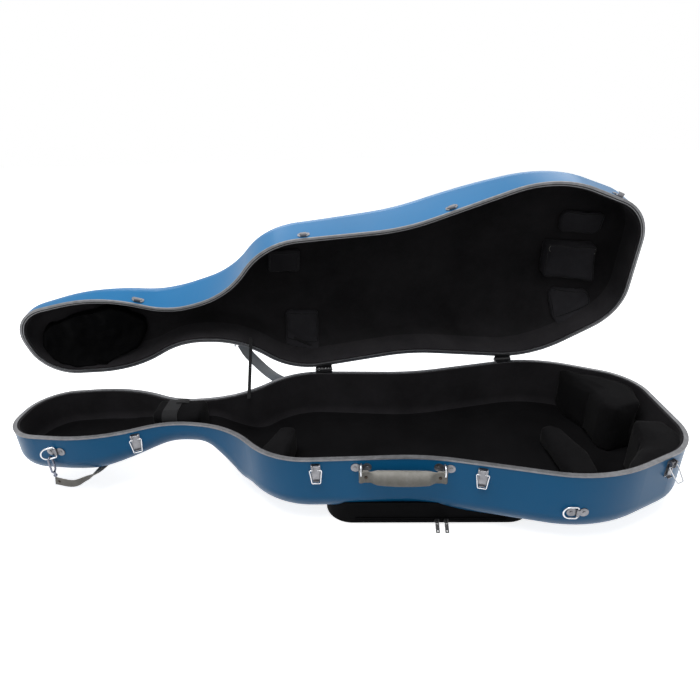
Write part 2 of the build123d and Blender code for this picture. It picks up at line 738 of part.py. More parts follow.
def save(name, solids, opened=False):
    """Writes a node standing on the ground, a lid piece turned open."""
    shape = Compound(children=list(solids)) if isinstance(solids, (list, tuple)) else solids
    if opened:
        shape = shape.rotate(hinge_axis, -LID_ANGLE)
    export_step(Pos(0, 0, RIM_Z) * shape, f"parts/{name}.step")


os.makedirs("parts", exist_ok=True)
lining_face = SHELL_WALL + SEAT_GAP + LINING
lid_rim_top = PARTING_GAP + LID_RIM_TOP
base_outer = base_form(0)
lid_outer = lid_form(0)

# Places of the hardware on the walls.
latch_frames = [wall_frame(x, -1) for x in LATCH_X]
plate_frames = [
    wall_frame(LOWER_RING_X, -1, LOWER_RING_Z),
    wall_frame(LOWER_RING_X, 1, LOWER_RING_Z),
    wall_frame(HEAD_RING_X, -1, HEAD_RING_Z),
    wall_frame(HEAD_RING_X, 1, HEAD_RING_Z),
]
handle_plate_frames = [wall_frame(x, -1, HANDLE_Z) for x in HANDLE_RING_X]
lid_ring_frame = wall_frame(LID_RING_X, 1, LID_RING_Z)
base_rivet_spots = [(frame, 0, y) for frame in latch_frames for y in LATCH_RIVET_Y]
for x in (-RIVET_X, RIVET_X):
    base_rivet_spots += [(frame, x, 0) for frame in plate_frames + handle_plate_frames]
lid_rivet_spots = [(lid_ring_frame, x, 0) for x in (-RIVET_X, RIVET_X)]
for x in (-CATCH_RIVET_X, CATCH_RIVET_X):
    lid_rivet_spots += [(frame, x, CATCH_RIVET_Y) for frame in latch_frames]
hinge_frames = [hinge_frame(x) for x in HINGE_X]

# Shells and linings.
base_holes = [frame * rivet_hole(x, y) for frame, x, y in base_rivet_spots]
lid_holes = [frame * rivet_hole(x, y) for frame, x, y in lid_rivet_spots]
base_shell = (base_outer & slab(-REACH, -RIM_TOP - SEAT_GAP)) - base_form(SHELL_WALL) - base_holes
lid_shell = (lid_outer & slab(lid_rim_top + SEAT_GAP, REACH)) - lid_form(SHELL_WALL) - lid_holes
base_cavity = base_form(lining_face)
base_lining = (base_form(SHELL_WALL + SEAT_GAP) & slab(-REACH, -RIM_TOP - SEAT_GAP)) - base_cavity
base_wall_lining = base_lining & above_base_profile(lining_face + BASE_SEAM)
base_floor_lining = base_lining - above_base_profile(lining_face + BASE_SEAM - SEAT_GAP)
lid_cavity = lid_form(lining_face)
lid_lining = (lid_form(SHELL_WALL + SEAT_GAP) & slab(lid_rim_top + SEAT_GAP, REACH)) - lid_cavity
save("base_shell", base_shell)
save("lid_shell", lid_shell, True)
save("base_wall_lining", base_wall_lining)
save("base_floor_lining", base_floor_lining)
save("lid_wall_lining", lid_lining & slab(0, LID_SEAM_Z), True)
save("lid_floor_lining", lid_lining & slab(LID_SEAM_Z + SEAT_GAP, REACH), True)

# Rims, gasket and hinges.
base_rim = band(-RIM_PROUD, RIM_WIDTH, -RIM_TOP, 0)
base_rim += band(-RIM_PROUD, -SEAT_GAP, -RIM_LEG, -RIM_TOP)
lid_rim = band(-RIM_PROUD, RIM_WIDTH, PARTING_GAP, lid_rim_top)
lid_rim += band(-RIM_PROUD, -SEAT_GAP, lid_rim_top, RIM_LEG + PARTING_GAP)
groove_edge = GASKET_FROM + GASKET_WIDTH
lid_rim -= band(GASKET_FROM, groove_edge, 0, PARTING_GAP + GASKET_DEPTH)
gasket_top = PARTING_GAP + GASKET_DEPTH - SEAT_GAP
gasket = band(GASKET_FROM + SEAT_GAP, groove_edge - SEAT_GAP, PARTING_GAP / 2, gasket_top)
within_rim = extrude(outline(RIM_WIDTH), amount=REACH, both=True)
within_groove = extrude(outline(GASKET_FROM - GROOVE_WALL), amount=REACH, both=True)
base_leaf_low = -LEAF - SEAT_GAP
lid_leaf_low = PARTING_GAP + SEAT_GAP
base_leaf = leaf(base_leaf_low, -SEAT_GAP, True)
lid_leaf = leaf(lid_leaf_low, lid_leaf_low + LEAF, False)
base_leaf_recess = leaf_recess(base_leaf_low - SEAT_GAP, PARTING_GAP / 2)
lid_leaf_recess = leaf_recess(0, lid_leaf_low + LEAF + SEAT_GAP)
save("base_rim", base_rim - [frame * base_leaf_recess for frame in hinge_frames])
save("lid_rim", lid_rim - [frame * lid_leaf_recess - within_groove for frame in hinge_frames], True)
save("rim_gasket", gasket, True)
save("hinge_base_leaves", [frame * base_leaf - within_rim for frame in hinge_frames])
save("hinge_lid_leaves", [frame * lid_leaf - within_groove for frame in hinge_frames], True)
save("hinge_pins", [frame * hinge_pin() for frame in hinge_frames])

# Latches, catches, ring plates and rivets.
save("latch_plates", [frame * latch_plate() - base_outer for frame in latch_frames])
save("latch_pins", [frame * latch_pin() for frame in latch_frames])
save("latch_catches", [frame * catch() - lid_outer for frame in latch_frames], True)
for number, (frame, lean) in enumerate(zip(latch_frames, BAIL_LEANS), 1):
    save(f"latch_lever_{number}", frame * latch_lever())
    save(f"latch_bail_{number}", frame * bail(lean))
save("handle_plates", [frame * ring_plate() - base_outer for frame in handle_plate_frames])
save("strap_ring_plates", [frame * ring_plate() - base_outer for frame in plate_frames])
save("lid_ring_plate", lid_ring_frame * ring_plate() - lid_outer, True)
save("base_rivets", [frame * rivet(x, y) for frame, x, y in base_rivet_spots])
save("lid_rivets", [frame * rivet(x, y) for frame, x, y in lid_rivet_spots], True)

# Rings and handle.
toward_head = ring(RING_HALF, RING_REACH, RING_CORNER, 0)
toward_end = Rot(0, 0, 180) * toward_head
save("ring_lower_front", plate_frames[0] * toward_head)
save("ring_lower_back", plate_frames[1] * toward_end)
lifted = ring(RING_HALF, RING_REACH, RING_CORNER, HEAD_RING_LIFT)
lifted_back = Rot(0, 0, 180) * lifted
save("head_rings", [plate_frames[2] * lifted, plate_frames[3] * lifted_back])
hanging = ring(RING_HALF, RING_REACH, RING_CORNER, 90)
save("strap_ring_lid", lid_ring_frame * hanging, True)
grip_frame, half_span = handle_frame()
save("handle_rings", [grip_frame * handle_ring(x) for x in (-half_span, half_span)])
save("handle_grip", grip_frame * handle_grip(half_span))
save("handle_rivets", [grip_frame * handle_rivet(x, half_span, 0) for x in (-half_span, half_span)])

# Foam blocks and pads in the base, and the neck rest with its band.
seat = base_form(lining_face + SOFT_GAP)
save("side_block_hinge", foam(HINGE_BLOCK, BLOCK_TOP) & seat)
save("side_block_latch", foam(LATCH_BLOCK, BLOCK_TOP) & seat)
save("curved_pad", foam(CURVED_PAD, CURVED_PAD_TOP) & seat)
save("upper_bout_pad", foam(UPPER_BOUT_PAD, UPPER_BOUT_PAD_TOP) & seat)
neck_rest = neck_wrap(NECK_REST_FROM, NECK_REST_TO, 0)
neck_rest = fillet(neck_rest.edges().filter_by(Axis.Y).group_by(Axis.Z)[-1], FOAM_EDGE)
under_band = SEAT_GAP + NECK_BAND_SHEET
neck_band = neck_wrap(NECK_BAND_FROM, NECK_BAND_TO, under_band)
neck_band -= neck_wrap(NECK_BAND_FROM - under_band, NECK_BAND_TO + under_band, SEAT_GAP)
rest_walls = extrude(outline(lining_face + 2 * SOFT_GAP), amount=REACH, both=True)
rest_space = extrude(Pos(0, 0, -SHELL_ROUND / 4) * Rectangle(2 * REACH, 2 * REACH), amount=SHELL_ROUND)
deep_seat = (seat + rest_space) & rest_walls
save("neck_rest", neck_rest & deep_seat)
save("neck_rest_band", neck_band & deep_seat)

# Pockets, bow clips, pouch and bag on the lid's crown.
crown = lid_form(lining_face + SOFT_GAP)
bow_clips = [crown_piece(crown, corners, BOW_CLIP_ROUND, BOW_CLIP_DEPTH) for corners in BOW_CLIPS]
bow_pockets = [crown_piece(crown, corners, BOW_POCKET_ROUND, BOW_POCKET_DEPTH) for corners in BOW_POCKETS]
save("bow_clips", bow_clips, True)
save("bow_pockets", bow_pockets, True)
save("rosin_pouch", crown_piece(crown, ROSIN_POUCH, ROSIN_POUCH_ROUND, ROSIN_POUCH_DEPTH), True)
save("accessory_bag", crown_piece(crown, ACCESSORY_BAG, ACCESSORY_BAG_ROUND, ACCESSORY_BAG_DEPTH), True)

# Music pouch under the base, its zip, sliders and pulls.
pouch = pouch_body(0, -RIM_Z)
pouch = chamfer(pouch.edges().group_by(Axis.Z)[0], POUCH_EDGE)
pouch -= pouch_body(POUCH_WALL, POUCH_WALL - RIM_Z)
save("music_pouch", pouch - base_form(-SOFT_GAP))
zip_low = ZIP_Z - ZIP_TAPE / 2
zip_high = ZIP_Z + ZIP_TAPE / 2
zip_y = -POUCH_HALF - COIL_OUT
tape_y = -POUCH_HALF - SEAT_GAP
zip_middle = (ZIP_FROM_X + ZIP_TO_X) / 2
zip_strip = block(ZIP_FROM_X, ZIP_TO_X, zip_y, tape_y, zip_low, zip_high)
zip_strip += rod(ZIP_COIL, ZIP_TO_X - ZIP_FROM_X, zip_middle, zip_y, ZIP_Z, (0, 90, 0))
save("pouch_zip", zip_strip - block(ZIP_FROM_X, ZIP_TO_X, tape_y, 0, zip_low, zip_high))
for name, x in zip(("left", "right"), SLIDER_X):
    save(f"zip_slider_{name}", zip_slider(x))
    save(f"zip_pull_{name}", zip_pull(x))

# Stay strap between the rims, pulled tight when the lid is open.
stay_y = abs(wall_y(STAY_X, 1)) - STAY_INSET
stay_foot = Vector(STAY_X, stay_y, -STAY_DROP)
arm = Vector(STAY_X, stay_y, STAY_DROP) - hinge_axis.position
run = arm.rotate(Axis((0, 0, 0), hinge_axis.direction), -LID_ANGLE) + hinge_axis.position - stay_foot
stay_section = Plane(origin=stay_foot, x_dir=(1, 0, 0), z_dir=run) * Rectangle(STAY_WIDTH, STAY_SHEET)
save("stay_strap", extrude(stay_section, amount=run.length))

# Strap slung under the head from ring to ring, with its hooks.
hook_spots = []
for side, frame in zip((-1, 1), plate_frames[2:]):
    lift = math.radians(HEAD_RING_LIFT)
    along = side * RING_REACH / 2 * math.cos(lift)
    out = RING_BARREL_OUT + RING_REACH / 2 * math.sin(lift)
    hook_spots.append(frame.from_local_coords(Vector(along, -RING_HALF, out)))
hook_top = RING_WIRE + HOOK_WIRE + SEAT_GAP
save("head_hooks", [snap_hook(p.X, p.Y, p.Z + hook_top) for p in hook_spots])
p = hook_spots[0]
foot_z = p.Z + hook_top - HOOK_LENGTH - HOOK_SWIVEL - STRAP_HALF
w = STRAP_HALF
low = (
    (p.X - 4, p.Y, foot_z - w),
    (p.X + 30, p.Y, foot_z - w - 6),
    (p.X + 70, p.Y - 1, foot_z - w - 4),
    (p.X + 102, p.Y + 22, -BASE_HEAD_DEPTH - 9),
    (p.X + 112, 0, -BASE_HEAD_DEPTH - 3),
)
high = (
    (p.X - 4, p.Y, foot_z + w),
    (p.X + 30, p.Y, foot_z + w - 6),
    (p.X + 66, p.Y + 4, foot_z + w + 2),
    (p.X + 86, p.Y + 30, -BASE_HEAD_DEPTH - 4),
    (p.X + 92, 0, -BASE_HEAD_DEPTH - 3),
)
save("head_strap", ribbon(both_ways(low), both_ways(high), STRAP_SHEET))

# Carry strap from the lid's ring down behind the case to the lower ring.
route = (
    ((-233, 171, 80), (0.98, 0.2)),
    ((-214, 174, 42), (0.85, 0.5)),
    ((-156, 177, -20), (0.6, 0.8)),
    ((-70, 182, -58), (0.35, 0.94)),
    ((60, 178, -76), (0, 1)),
    ((220, 185, -86), (0, 1)),
    ((340, 214, -88), (0, 1)),
    ((414.5, 227.3, -83), (0, 1)),
)
h = CARRY_HALF
lower = [(x - h * a, y, z - h * b) for (x, y, z), (a, b) in route]
upper = [(x + h * a, y, z + h * b) for (x, y, z), (a, b) in route]
save("carry_strap", ribbon(lower, upper, STRAP_SHEET))
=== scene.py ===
import json
import math
import bpy
import bmesh
from bpy.props import FloatProperty, FloatVectorProperty, IntProperty, PointerProperty
from mathutils import Matrix, Vector, noise
from mathutils.bvhtree import BVHTree


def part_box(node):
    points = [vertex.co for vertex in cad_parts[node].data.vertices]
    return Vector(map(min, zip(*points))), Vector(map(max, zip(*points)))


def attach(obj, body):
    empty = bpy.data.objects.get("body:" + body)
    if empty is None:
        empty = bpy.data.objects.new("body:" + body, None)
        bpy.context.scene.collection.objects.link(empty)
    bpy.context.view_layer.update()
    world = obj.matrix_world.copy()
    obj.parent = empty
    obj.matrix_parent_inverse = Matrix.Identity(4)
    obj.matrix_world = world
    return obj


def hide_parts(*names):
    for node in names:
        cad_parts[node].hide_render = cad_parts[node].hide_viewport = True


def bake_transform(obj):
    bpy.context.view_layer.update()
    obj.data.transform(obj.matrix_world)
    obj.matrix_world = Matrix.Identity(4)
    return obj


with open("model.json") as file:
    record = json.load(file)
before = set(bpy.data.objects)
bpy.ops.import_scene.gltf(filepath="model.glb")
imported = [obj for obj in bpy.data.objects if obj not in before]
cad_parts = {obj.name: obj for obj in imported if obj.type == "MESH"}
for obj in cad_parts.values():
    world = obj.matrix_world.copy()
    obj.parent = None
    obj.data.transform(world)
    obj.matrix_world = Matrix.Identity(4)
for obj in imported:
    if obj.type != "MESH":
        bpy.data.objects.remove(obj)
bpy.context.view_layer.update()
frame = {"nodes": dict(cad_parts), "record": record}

bl_info = {
    "name": "Cello Case",
    "version": (1, 0, 0),
    "blender": (4, 5, 0),
    "location": "View3D > Sidebar > Cello Case",
    "description": "Finishes, soft goods, straps and studio of an open cello case",
    "category": "Object",
}

# The parting plane's height, the hinge axis and the angle of the open lid, as on the metal parts.
RIM_Z = 0.160
HINGE_Y = 0.1906
HINGE_SLANT = math.radians(5.7)
LID_ANGLE = math.radians(75.0)

# Millimetres in a metre.
MILLIMETRES = 1000


def colour(name, description, default):
    """A colour that a user may change, in linear light."""
    return FloatVectorProperty(
        name=name, description=description, default=default, size=3, min=0.0, max=1.0, subtype="COLOR")


class CASE_PG_finish(bpy.types.PropertyGroup):
    shell_roughness: FloatProperty(
        name="Shell roughness", description="Roughness of the lacquer", default=0.34)
    plush_scale: FloatProperty(
        name="Plush grain", description="Grains of the plush per metre", default=900.0)
    weave_scale: FloatProperty(name="Weave", description="Threads of the webbing per metre", default=620.0)
    lacquer_deep: colour("Lacquer, deep", "Deeper patches of the lacquer", (0.004, 0.136, 0.325))
    lacquer_clear: colour("Lacquer, clear", "Clearer patches of the lacquer", (0.006, 0.154, 0.365))
    rim_dull: colour("Rim, dull", "Scuffed metal of the rims", (0.16, 0.162, 0.170))
    rim_clean: colour("Rim, clean", "Clean metal of the rims", (0.24, 0.243, 0.255))
    # The handle leather's colour in the sunken creases and on the ridges between them: the darker crease
    # colour is painted shade.
    leather_in_creases: colour("Leather, worn", "Worn leather of the handle", (0.20, 0.191, 0.170))
    leather_on_ridges: colour("Leather, clean", "Clean leather of the handle", (0.29, 0.279, 0.255))
    # The carry strap's colours, for its sunken and its raised threads, are paler than the grey webbing's:
    # painted light on a strap that lies in shade behind the case.
    carry_dark: colour("Carry strap, dark", "Shaded threads of the carry strap", (0.40, 0.40, 0.395))
    carry_pale: colour("Carry strap, pale", "Raised threads of the carry strap", (0.62, 0.62, 0.61))


class CASE_PG_soft(bpy.types.PropertyGroup):
    voxel: FloatProperty(
        name="Cell", description="Cell of the soft pieces", default=0.004, subtype="DISTANCE")
    puff: FloatProperty(name="Puff", description="Air pressure that fills the pads", default=3.0)
    cap: FloatProperty(
        name="Swell", description="Furthest that a pad swells", default=0.003, subtype="DISTANCE")
    frames: IntProperty(name="Frames", description="Frames of the filling", default=14)


class CASE_PG_strap(bpy.types.PropertyGroup):
    carry_half: FloatProperty(
        name="Carry strap", description="Half width of the carry strap", default=0.013, subtype="DISTANCE")
    sling_half: FloatProperty(
        name="Head strap", description="Half width of the head strap", default=0.0095, subtype="DISTANCE")
    sheet: FloatProperty(
        name="Webbing", description="Thickness of the webbing", default=0.0024, subtype="DISTANCE")


class CASE_PG_studio(bpy.types.PropertyGroup):
    lens: FloatProperty(name="Lens", description="Focal length on a 36 mm sensor", default=25.97)
    key: FloatProperty(
        name="Key light", description="Power of the overhead light", default=50.0, unit="POWER")
    fill: FloatProperty(
        name="Fill light", description="Power of the front light", default=4.0, unit="POWER")
    back: FloatProperty(
        name="Back light", description="Power of the light behind the lid", default=26.0, unit="POWER")
    sky: FloatProperty(name="Surround", description="Strength of the white surround", default=0.26)


def select_only(obj):
    """Makes obj the only selected object, and the active one."""
    bpy.ops.object.select_all(action="DESELECT")
    obj.select_set(True)
    bpy.context.view_layer.objects.active = obj


def new_object(name, data):
    """Adds an object at the origin."""
    obj = bpy.data.objects.new(name, data)
    bpy.context.scene.collection.objects.link(obj)
    return obj


def mesh_object(name, verts, faces):
    """Adds an object from vertices and faces."""
    mesh = bpy.data.meshes.new(name)
    mesh.from_pydata([tuple(v) for v in verts], [], faces)
    mesh.validate()
    mesh.update()
    return new_object(name, mesh)


def ring_faces(rings, sides, start=0):
    """Quads between rings of vertices that follow one another from a start."""
    faces = []
    for ring in range(rings - 1):
        for k in range(sides):
            a = start + ring * sides + k
            b = start + ring * sides + (k + 1) % sides
            faces.append((a, b, b + sides, a + sides))
    return faces


def apply_all(obj):
    """Applies every modifier of obj."""
    select_only(obj)
    for modifier in list(obj.modifiers):
        bpy.ops.object.modifier_apply(modifier=modifier.name)


def smooth(obj, degrees):
    """Shades obj smooth, with sharp edges past an angle."""
    select_only(obj)
    bpy.ops.object.shade_smooth_by_angle(angle=math.radians(degrees))


def finish_piece(obj, body, material, slot, *nodes):
    """Gives obj its finish and body, and lets it stand for its nodes."""
    obj.data.materials.clear()
    obj.data.materials.append(material)
    if nodes:
        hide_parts(*nodes)
    if body:
        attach(obj, body)


def opened(x, y, z):
    """A point of the closed lid, in millimetres from the parting plane, where the open lid has it."""
    axis = Vector((math.cos(HINGE_SLANT), math.sin(HINGE_SLANT), 0))
    arm = Vector((x / MILLIMETRES, y / MILLIMETRES - HINGE_Y, z / MILLIMETRES))
    return Matrix.Rotation(-LID_ANGLE, 3, axis) @ arm + Vector((0, HINGE_Y, RIM_Z))


def copy_of_node(name, node):
    """An object with a copy of a node's mesh, its doubles merged."""
    bm = bmesh.new()
    bm.from_mesh(frame["nodes"][node].data)
    bmesh.ops.remove_doubles(bm, verts=bm.verts, dist=1e-6)
    mesh = bpy.data.meshes.new(name)
    bm.to_mesh(mesh)
    bm.free()
    return new_object(name, mesh)


def remesh(obj, cell):
    """Rebuilds obj from even cells and relaxes it."""
    select_only(obj)
    obj.data.remesh_voxel_size = cell
    obj.data.remesh_voxel_adaptivity = 0.0
    bpy.ops.object.voxel_remesh()
    relax = obj.modifiers.new("relax", "SMOOTH")
    relax.factor = 0.5
    relax.iterations = 4
    apply_all(obj)


def ripple(obj, height, size, seed):
    """Moves the surface in and out by a slow noise, as cloth over foam lies."""
    normals = [v.normal.copy() for v in obj.data.vertices]
    for vertex, normal in zip(obj.data.vertices, normals):
        wave = noise.noise(vertex.co / size + Vector((seed, 0, 0)))
        vertex.co += normal * wave * height
    obj.data.update()


# How hard the cloth of a pad is to stretch.
CLOTH_STIFFNESS = 15


def fill_with_air(obj, sizes):
    """Swells a pad by a short cloth run, held to a small distance."""
    rest = [v.co.copy() for v in obj.data.vertices]
    select_only(obj)
    cloth = obj.modifiers.new("air", "CLOTH")
    cloth.settings.use_pressure = True
    cloth.settings.uniform_pressure_force = sizes.puff
    cloth.settings.effector_weights.gravity = 0.0
    cloth.settings.tension_stiffness = CLOTH_STIFFNESS
    cloth.point_cache.frame_end = sizes.frames
    for number in range(1, sizes.frames + 1):
        bpy.context.scene.frame_set(number)
    apply_all(obj)
    for vertex, home in zip(obj.data.vertices, rest):
        move = vertex.co - home
        if move.length > sizes.cap:
            vertex.co = home + move.normalized() * sizes.cap
    bpy.context.scene.frame_set(1)


# The ripples of a pad's cloth: how far apart they lie.
PAD_RIPPLE_SIZE = 0.03


def pad(body, node, material, sizes, height, seed):
    """A foam or stuffed piece over its node, with a crowned, slightly uneven surface."""
    obj = copy_of_node("plush_" + node, node)
    remesh(obj, sizes.voxel)
    fill_with_air(obj, sizes)
    ripple(obj, height, PAD_RIPPLE_SIZE, seed)
    smooth(obj, 60)
    finish_piece(obj, body, material, "black_plush", node)
    return obj


def tree_of(obj):
    """A search tree of the object's faces."""
    return BVHTree.FromObject(obj, bpy.context.evaluated_depsgraph_get())


def tube(name, points, radius, closed=False):
    """A round thread through points."""
    curve = bpy.data.curves.new(name, "CURVE")
    curve.dimensions = "3D"
    curve.bevel_depth = radius
    curve.bevel_resolution = 3
    curve.use_fill_caps = True
    spline = curve.splines.new("NURBS")
    spline.points.add(len(points) - 1)
    for place, point in zip(spline.points, points):
        place.co = (*point, 1)
    spline.order_u = 3
    spline.use_endpoint_u = not closed
    spline.use_cyclic_u = closed
    select_only(new_object(name, curve))
    bpy.ops.object.convert(target="MESH")
    return bpy.context.object


def along(points, step):
    """Points at even steps along a closed polygon."""
    result = []
    for a, b in zip(points, points[1:] + points[:1]):
        count = max(2, round((b - a).length / step))
        result += [a.lerp(b, (i + 0.5) / count) for i in range(count)]
    return result


def spline_points(points, count):
    """A smooth line through points, sampled evenly between each pair."""
    result = []
    ends = [points[0] * 2 - points[1]] + list(points) + [points[-1] * 2 - points[-2]]
    for i in range(1, len(ends) - 2):
        a, b, c, d = ends[i - 1:i + 3]
        for k in range(count):
            t = k / count
            curved = 2 * a - 5 * b + 4 * c - d
            turned = 3 * b - a - 3 * c + d
            result.append(0.5 * (2 * b + (c - a) * t + curved * t * t + turned * t ** 3))
    return result + [points[-1]]


# A strap's lengthwise lines, in half widths from its middle; the outer two dip by a part of its thickness.
STRAP_LINES = (-1.0, -0.82, 0.0, 0.82, 1.0)
STRAP_DIP = 0.25


def strap(name, route, half, sheet, count):
    """A flat strap along a route of places, each with the direction of the strap's width there."""
    centre = spline_points([Vector(place) for place, across in route], count)
    wide = spline_points([Vector(across).normalized() for place, across in route], count)
    verts = []
    for i, (point, side) in enumerate(zip(centre, wide)):
        tangent = (centre[min(i + 1, len(centre) - 1)] - centre[max(i - 1, 0)]).normalized()
        side = (side - tangent * side.dot(tangent)).normalized()
        normal = tangent.cross(side)
        for line in STRAP_LINES:
            lift = -STRAP_DIP * sheet if abs(line) == 1.0 else 0.0
            verts.append(point + side * half * line + normal * lift)
    width = len(STRAP_LINES)
    faces = []
    for i in range(len(centre) - 1):
        for j in range(width - 1):
            a = i * width + j
            faces.append((a, a + 1, a + width + 1, a + width))
    obj = mesh_object(name, verts, faces)
    layer = obj.data.attributes.new("Strap", "FLOAT_VECTOR", "POINT")
    run = 0.0
    for i in range(len(centre)):
        run += (centre[i] - centre[max(i - 1, 0)]).length
        for j, line in enumerate(STRAP_LINES):
            layer.data[i * width + j].vector = (run, line * half, 0)
    solid = obj.modifiers.new("sheet", "SOLIDIFY")
    solid.thickness = sheet
    solid.offset = 0
    edge = obj.modifiers.new("edge", "BEVEL")
    edge.width = sheet * 0.3
    edge.segments = 2
    edge.limit_method = "ANGLE"
    apply_all(obj)
    smooth(obj, 50)
    return obj


# A stitch: its length, the gap to the next one, its radius and sides, and its rings as places and growths.
STITCH_LENGTH = 0.0028
STITCH_GAP = 0.0014
STITCH_RADIUS = 0.00035
STITCH_SIDES = 6
STITCH_RINGS = ((-0.5, 0.5), (-0.3, 1.0), (0.3, 1.0), (0.5, 0.5))


def stitch_row(name, points):
    """A row of thread stitches along a line, each a small bead."""
    verts, faces = [], []
    line = spline_points(points, 24)
    run, start = 0.0, 0.0
    for a, b in zip(line, line[1:]):
        run += (b - a).length
        if run - start < STITCH_LENGTH + STITCH_GAP:
            continue
        start = run
        ahead = (b - a).normalized()
        side = ahead.orthogonal().normalized()
        other = ahead.cross(side)
        base = len(verts)
        for t, grow in STITCH_RINGS:
            for k in range(STITCH_SIDES):
                turn = k * 2 * math.pi / STITCH_SIDES
                spoke = side * math.cos(turn) + other * math.sin(turn)
                verts.append(b + ahead * STITCH_LENGTH * t + spoke * STITCH_RADIUS * grow)
        faces += ring_faces(len(STITCH_RINGS), STITCH_SIDES, base)
        faces.append(tuple(reversed(range(base, base + STITCH_SIDES))))
        faces.append(tuple(range(len(verts) - STITCH_SIDES, len(verts))))
    return mesh_object(name, verts, faces)


# A stud's rings, as shares of its radius and of its height, and its sides.
STUD_RINGS = ((1.0, 0.0), (1.0, 0.45), (0.8, 0.8), (0.4, 1.0))
STUD_SIDES = 20


def stud(name, place, out, radius, height):
    """A low domed stud on a face."""
    side = out.orthogonal().normalized()
    other = out.cross(side)
    verts = []
    for grow, lift in STUD_RINGS:
        for k in range(STUD_SIDES):
            turn = 2 * math.pi * k / STUD_SIDES
            spoke = side * math.cos(turn) + other * math.sin(turn)
            verts.append(place + spoke * radius * grow + out * height * lift)
    faces = ring_faces(len(STUD_RINGS), STUD_SIDES)
    faces.append(tuple(reversed(range(STUD_SIDES))))
    faces.append(tuple(range(len(verts) - STUD_SIDES, len(verts))))
    obj = mesh_object(name, verts, faces)
    smooth(obj, 60)
    return obj


def add_node(tree, kind, inputs=None, **settings):
    """Adds a node to a tree, with its inputs linked or set."""
    node = tree.nodes.new(kind)
    for key, value in settings.items():
        setattr(node, key, value)
    for key, value in (inputs or {}).items():
        if isinstance(value, bpy.types.NodeSocket):
            tree.links.new(value, node.inputs[key])
        else:
            node.inputs[key].default_value = value
    return node


class Shader:
    """A material built node by node."""

    def __init__(self, name):
        self.material = bpy.data.materials.new(name)
        self.material.use_nodes = True
        self.tree = self.material.node_tree
        self.bsdf = self.tree.nodes["Principled BSDF"]
        self.coords = self.node("ShaderNodeTexCoord").outputs["Object"]

    def node(self, kind, inputs=None, **settings):
        """Adds a node to the material."""
        return add_node(self.tree, kind, inputs, **settings)

    def set(self, **inputs):
        """Links or sets inputs of the surface."""
        for key, value in inputs.items():
            socket = self.bsdf.inputs[key.replace("_", " ")]
            if isinstance(value, bpy.types.NodeSocket):
                self.tree.links.new(value, socket)
            else:
                socket.default_value = value

    def noise(self, scale, detail=3.0, rough=0.5):
        """A noise on the piece's own coordinates."""
        inputs = {"Vector": self.coords, "Scale": scale, "Detail": detail, "Roughness": rough}
        return self.node("ShaderNodeTexNoise", inputs).outputs["Fac"]

    def ramp(self, fac, low, high, start=0.3, end=0.7):
        """A blend from one colour to another."""
        node = self.node("ShaderNodeValToRGB", {"Fac": fac})
        node.color_ramp.elements[0].position = start
        node.color_ramp.elements[1].position = end
        node.color_ramp.elements[0].color = (*low, 1)
        node.color_ramp.elements[1].color = (*high, 1)
        return node.outputs["Color"]

    def map(self, fac, low, high):
        """A value spread from low to high."""
        inputs = {"Value": fac, "To Min": low, "To Max": high}
        return self.node("ShaderNodeMapRange", inputs).outputs["Result"]

    def bump(self, height, strength, distance, under=None):
        """Relief on the surface, over any relief under it."""
        inputs = {"Height": height, "Strength": strength, "Distance": distance}
        if under:
            inputs["Normal"] = under
        normal = self.node("ShaderNodeBump", inputs).outputs["Normal"]
        self.set(Normal=normal)
        return normal

    def maths(self, operation, a, b=0.0):
        """The result of a sum on two values."""
        return self.node("ShaderNodeMath", {0: a, 1: b}, operation=operation).outputs[0]

    def mixed(self, a, b, share):
        """Two values added, the first by its share and the second by the rest."""
        return self.maths("ADD", self.maths("MULTIPLY", a, share), self.maths("MULTIPLY", b, 1.0 - share))


def lacquer(sizes):
    """Deep blue lacquer with a faint orange peel."""
    s = Shader("blue_lacquer")
    s.set(Base_Color=s.ramp(s.noise(3.5, 2.0), sizes.lacquer_deep, sizes.lacquer_clear))
    s.set(Roughness=s.map(s.noise(18.0), sizes.shell_roughness - 0.04, sizes.shell_roughness + 0.05))
    s.set(Specular_IOR_Level=0.16, Coat_Weight=0.08, Coat_Roughness=0.16, IOR=1.45)
    s.bump(s.noise(260.0, 2.0), 0.05, 0.0004)
    return s.material


def rim_metal(sizes):
    """Satin drawn metal of the rims, with fine lines and scuffs."""
    s = Shader("rim_metal")
    s.set(Base_Color=s.ramp(s.noise(90.0, 4.0, 0.6), sizes.rim_dull, sizes.rim_clean), Metallic=0.6)
    s.set(Roughness=s.map(s.noise(24.0, 4.0), 0.36, 0.52))
    s.bump(s.noise(700.0, 2.0), 0.12, 0.0002)
    return s.material


def plated(name, low, high, rough_low, rough_high):
    """Plated hardware with fine wear, from dull sheet to bright wire; the one plating's sheet copy is
    darker, as painted shade, and its wire copy brighter, as painted light.
    """
    s = Shader(name)
    s.set(Base_Color=s.ramp(s.noise(60.0), low, high), Metallic=1.0)
    s.set(Roughness=s.map(s.noise(160.0, 4.0, 0.6), rough_low, rough_high))
    s.bump(s.noise(500.0), 0.06, 0.0002)
    return s.material


def black_steel():
    """Black enamelled steel of the hinge leaves and zip parts."""
    s = Shader("black_enamel")
    s.set(Base_Color=s.ramp(s.noise(80.0), (0.006, 0.006, 0.007), (0.014, 0.014, 0.016)), Metallic=0.3)
    s.set(Roughness=s.map(s.noise(120.0), 0.28, 0.42))
    s.bump(s.noise(420.0), 0.1, 0.0002)
    return s.material


def bronze():
    """Dark polished bronze of the handle's rivets."""
    s = Shader("dark_bronze")
    s.set(Base_Color=s.ramp(s.noise(200.0), (0.020, 0.015, 0.012), (0.055, 0.042, 0.034)), Metallic=0.9)
    s.set(Roughness=s.map(s.noise(300.0), 0.2, 0.35))
    return s.material


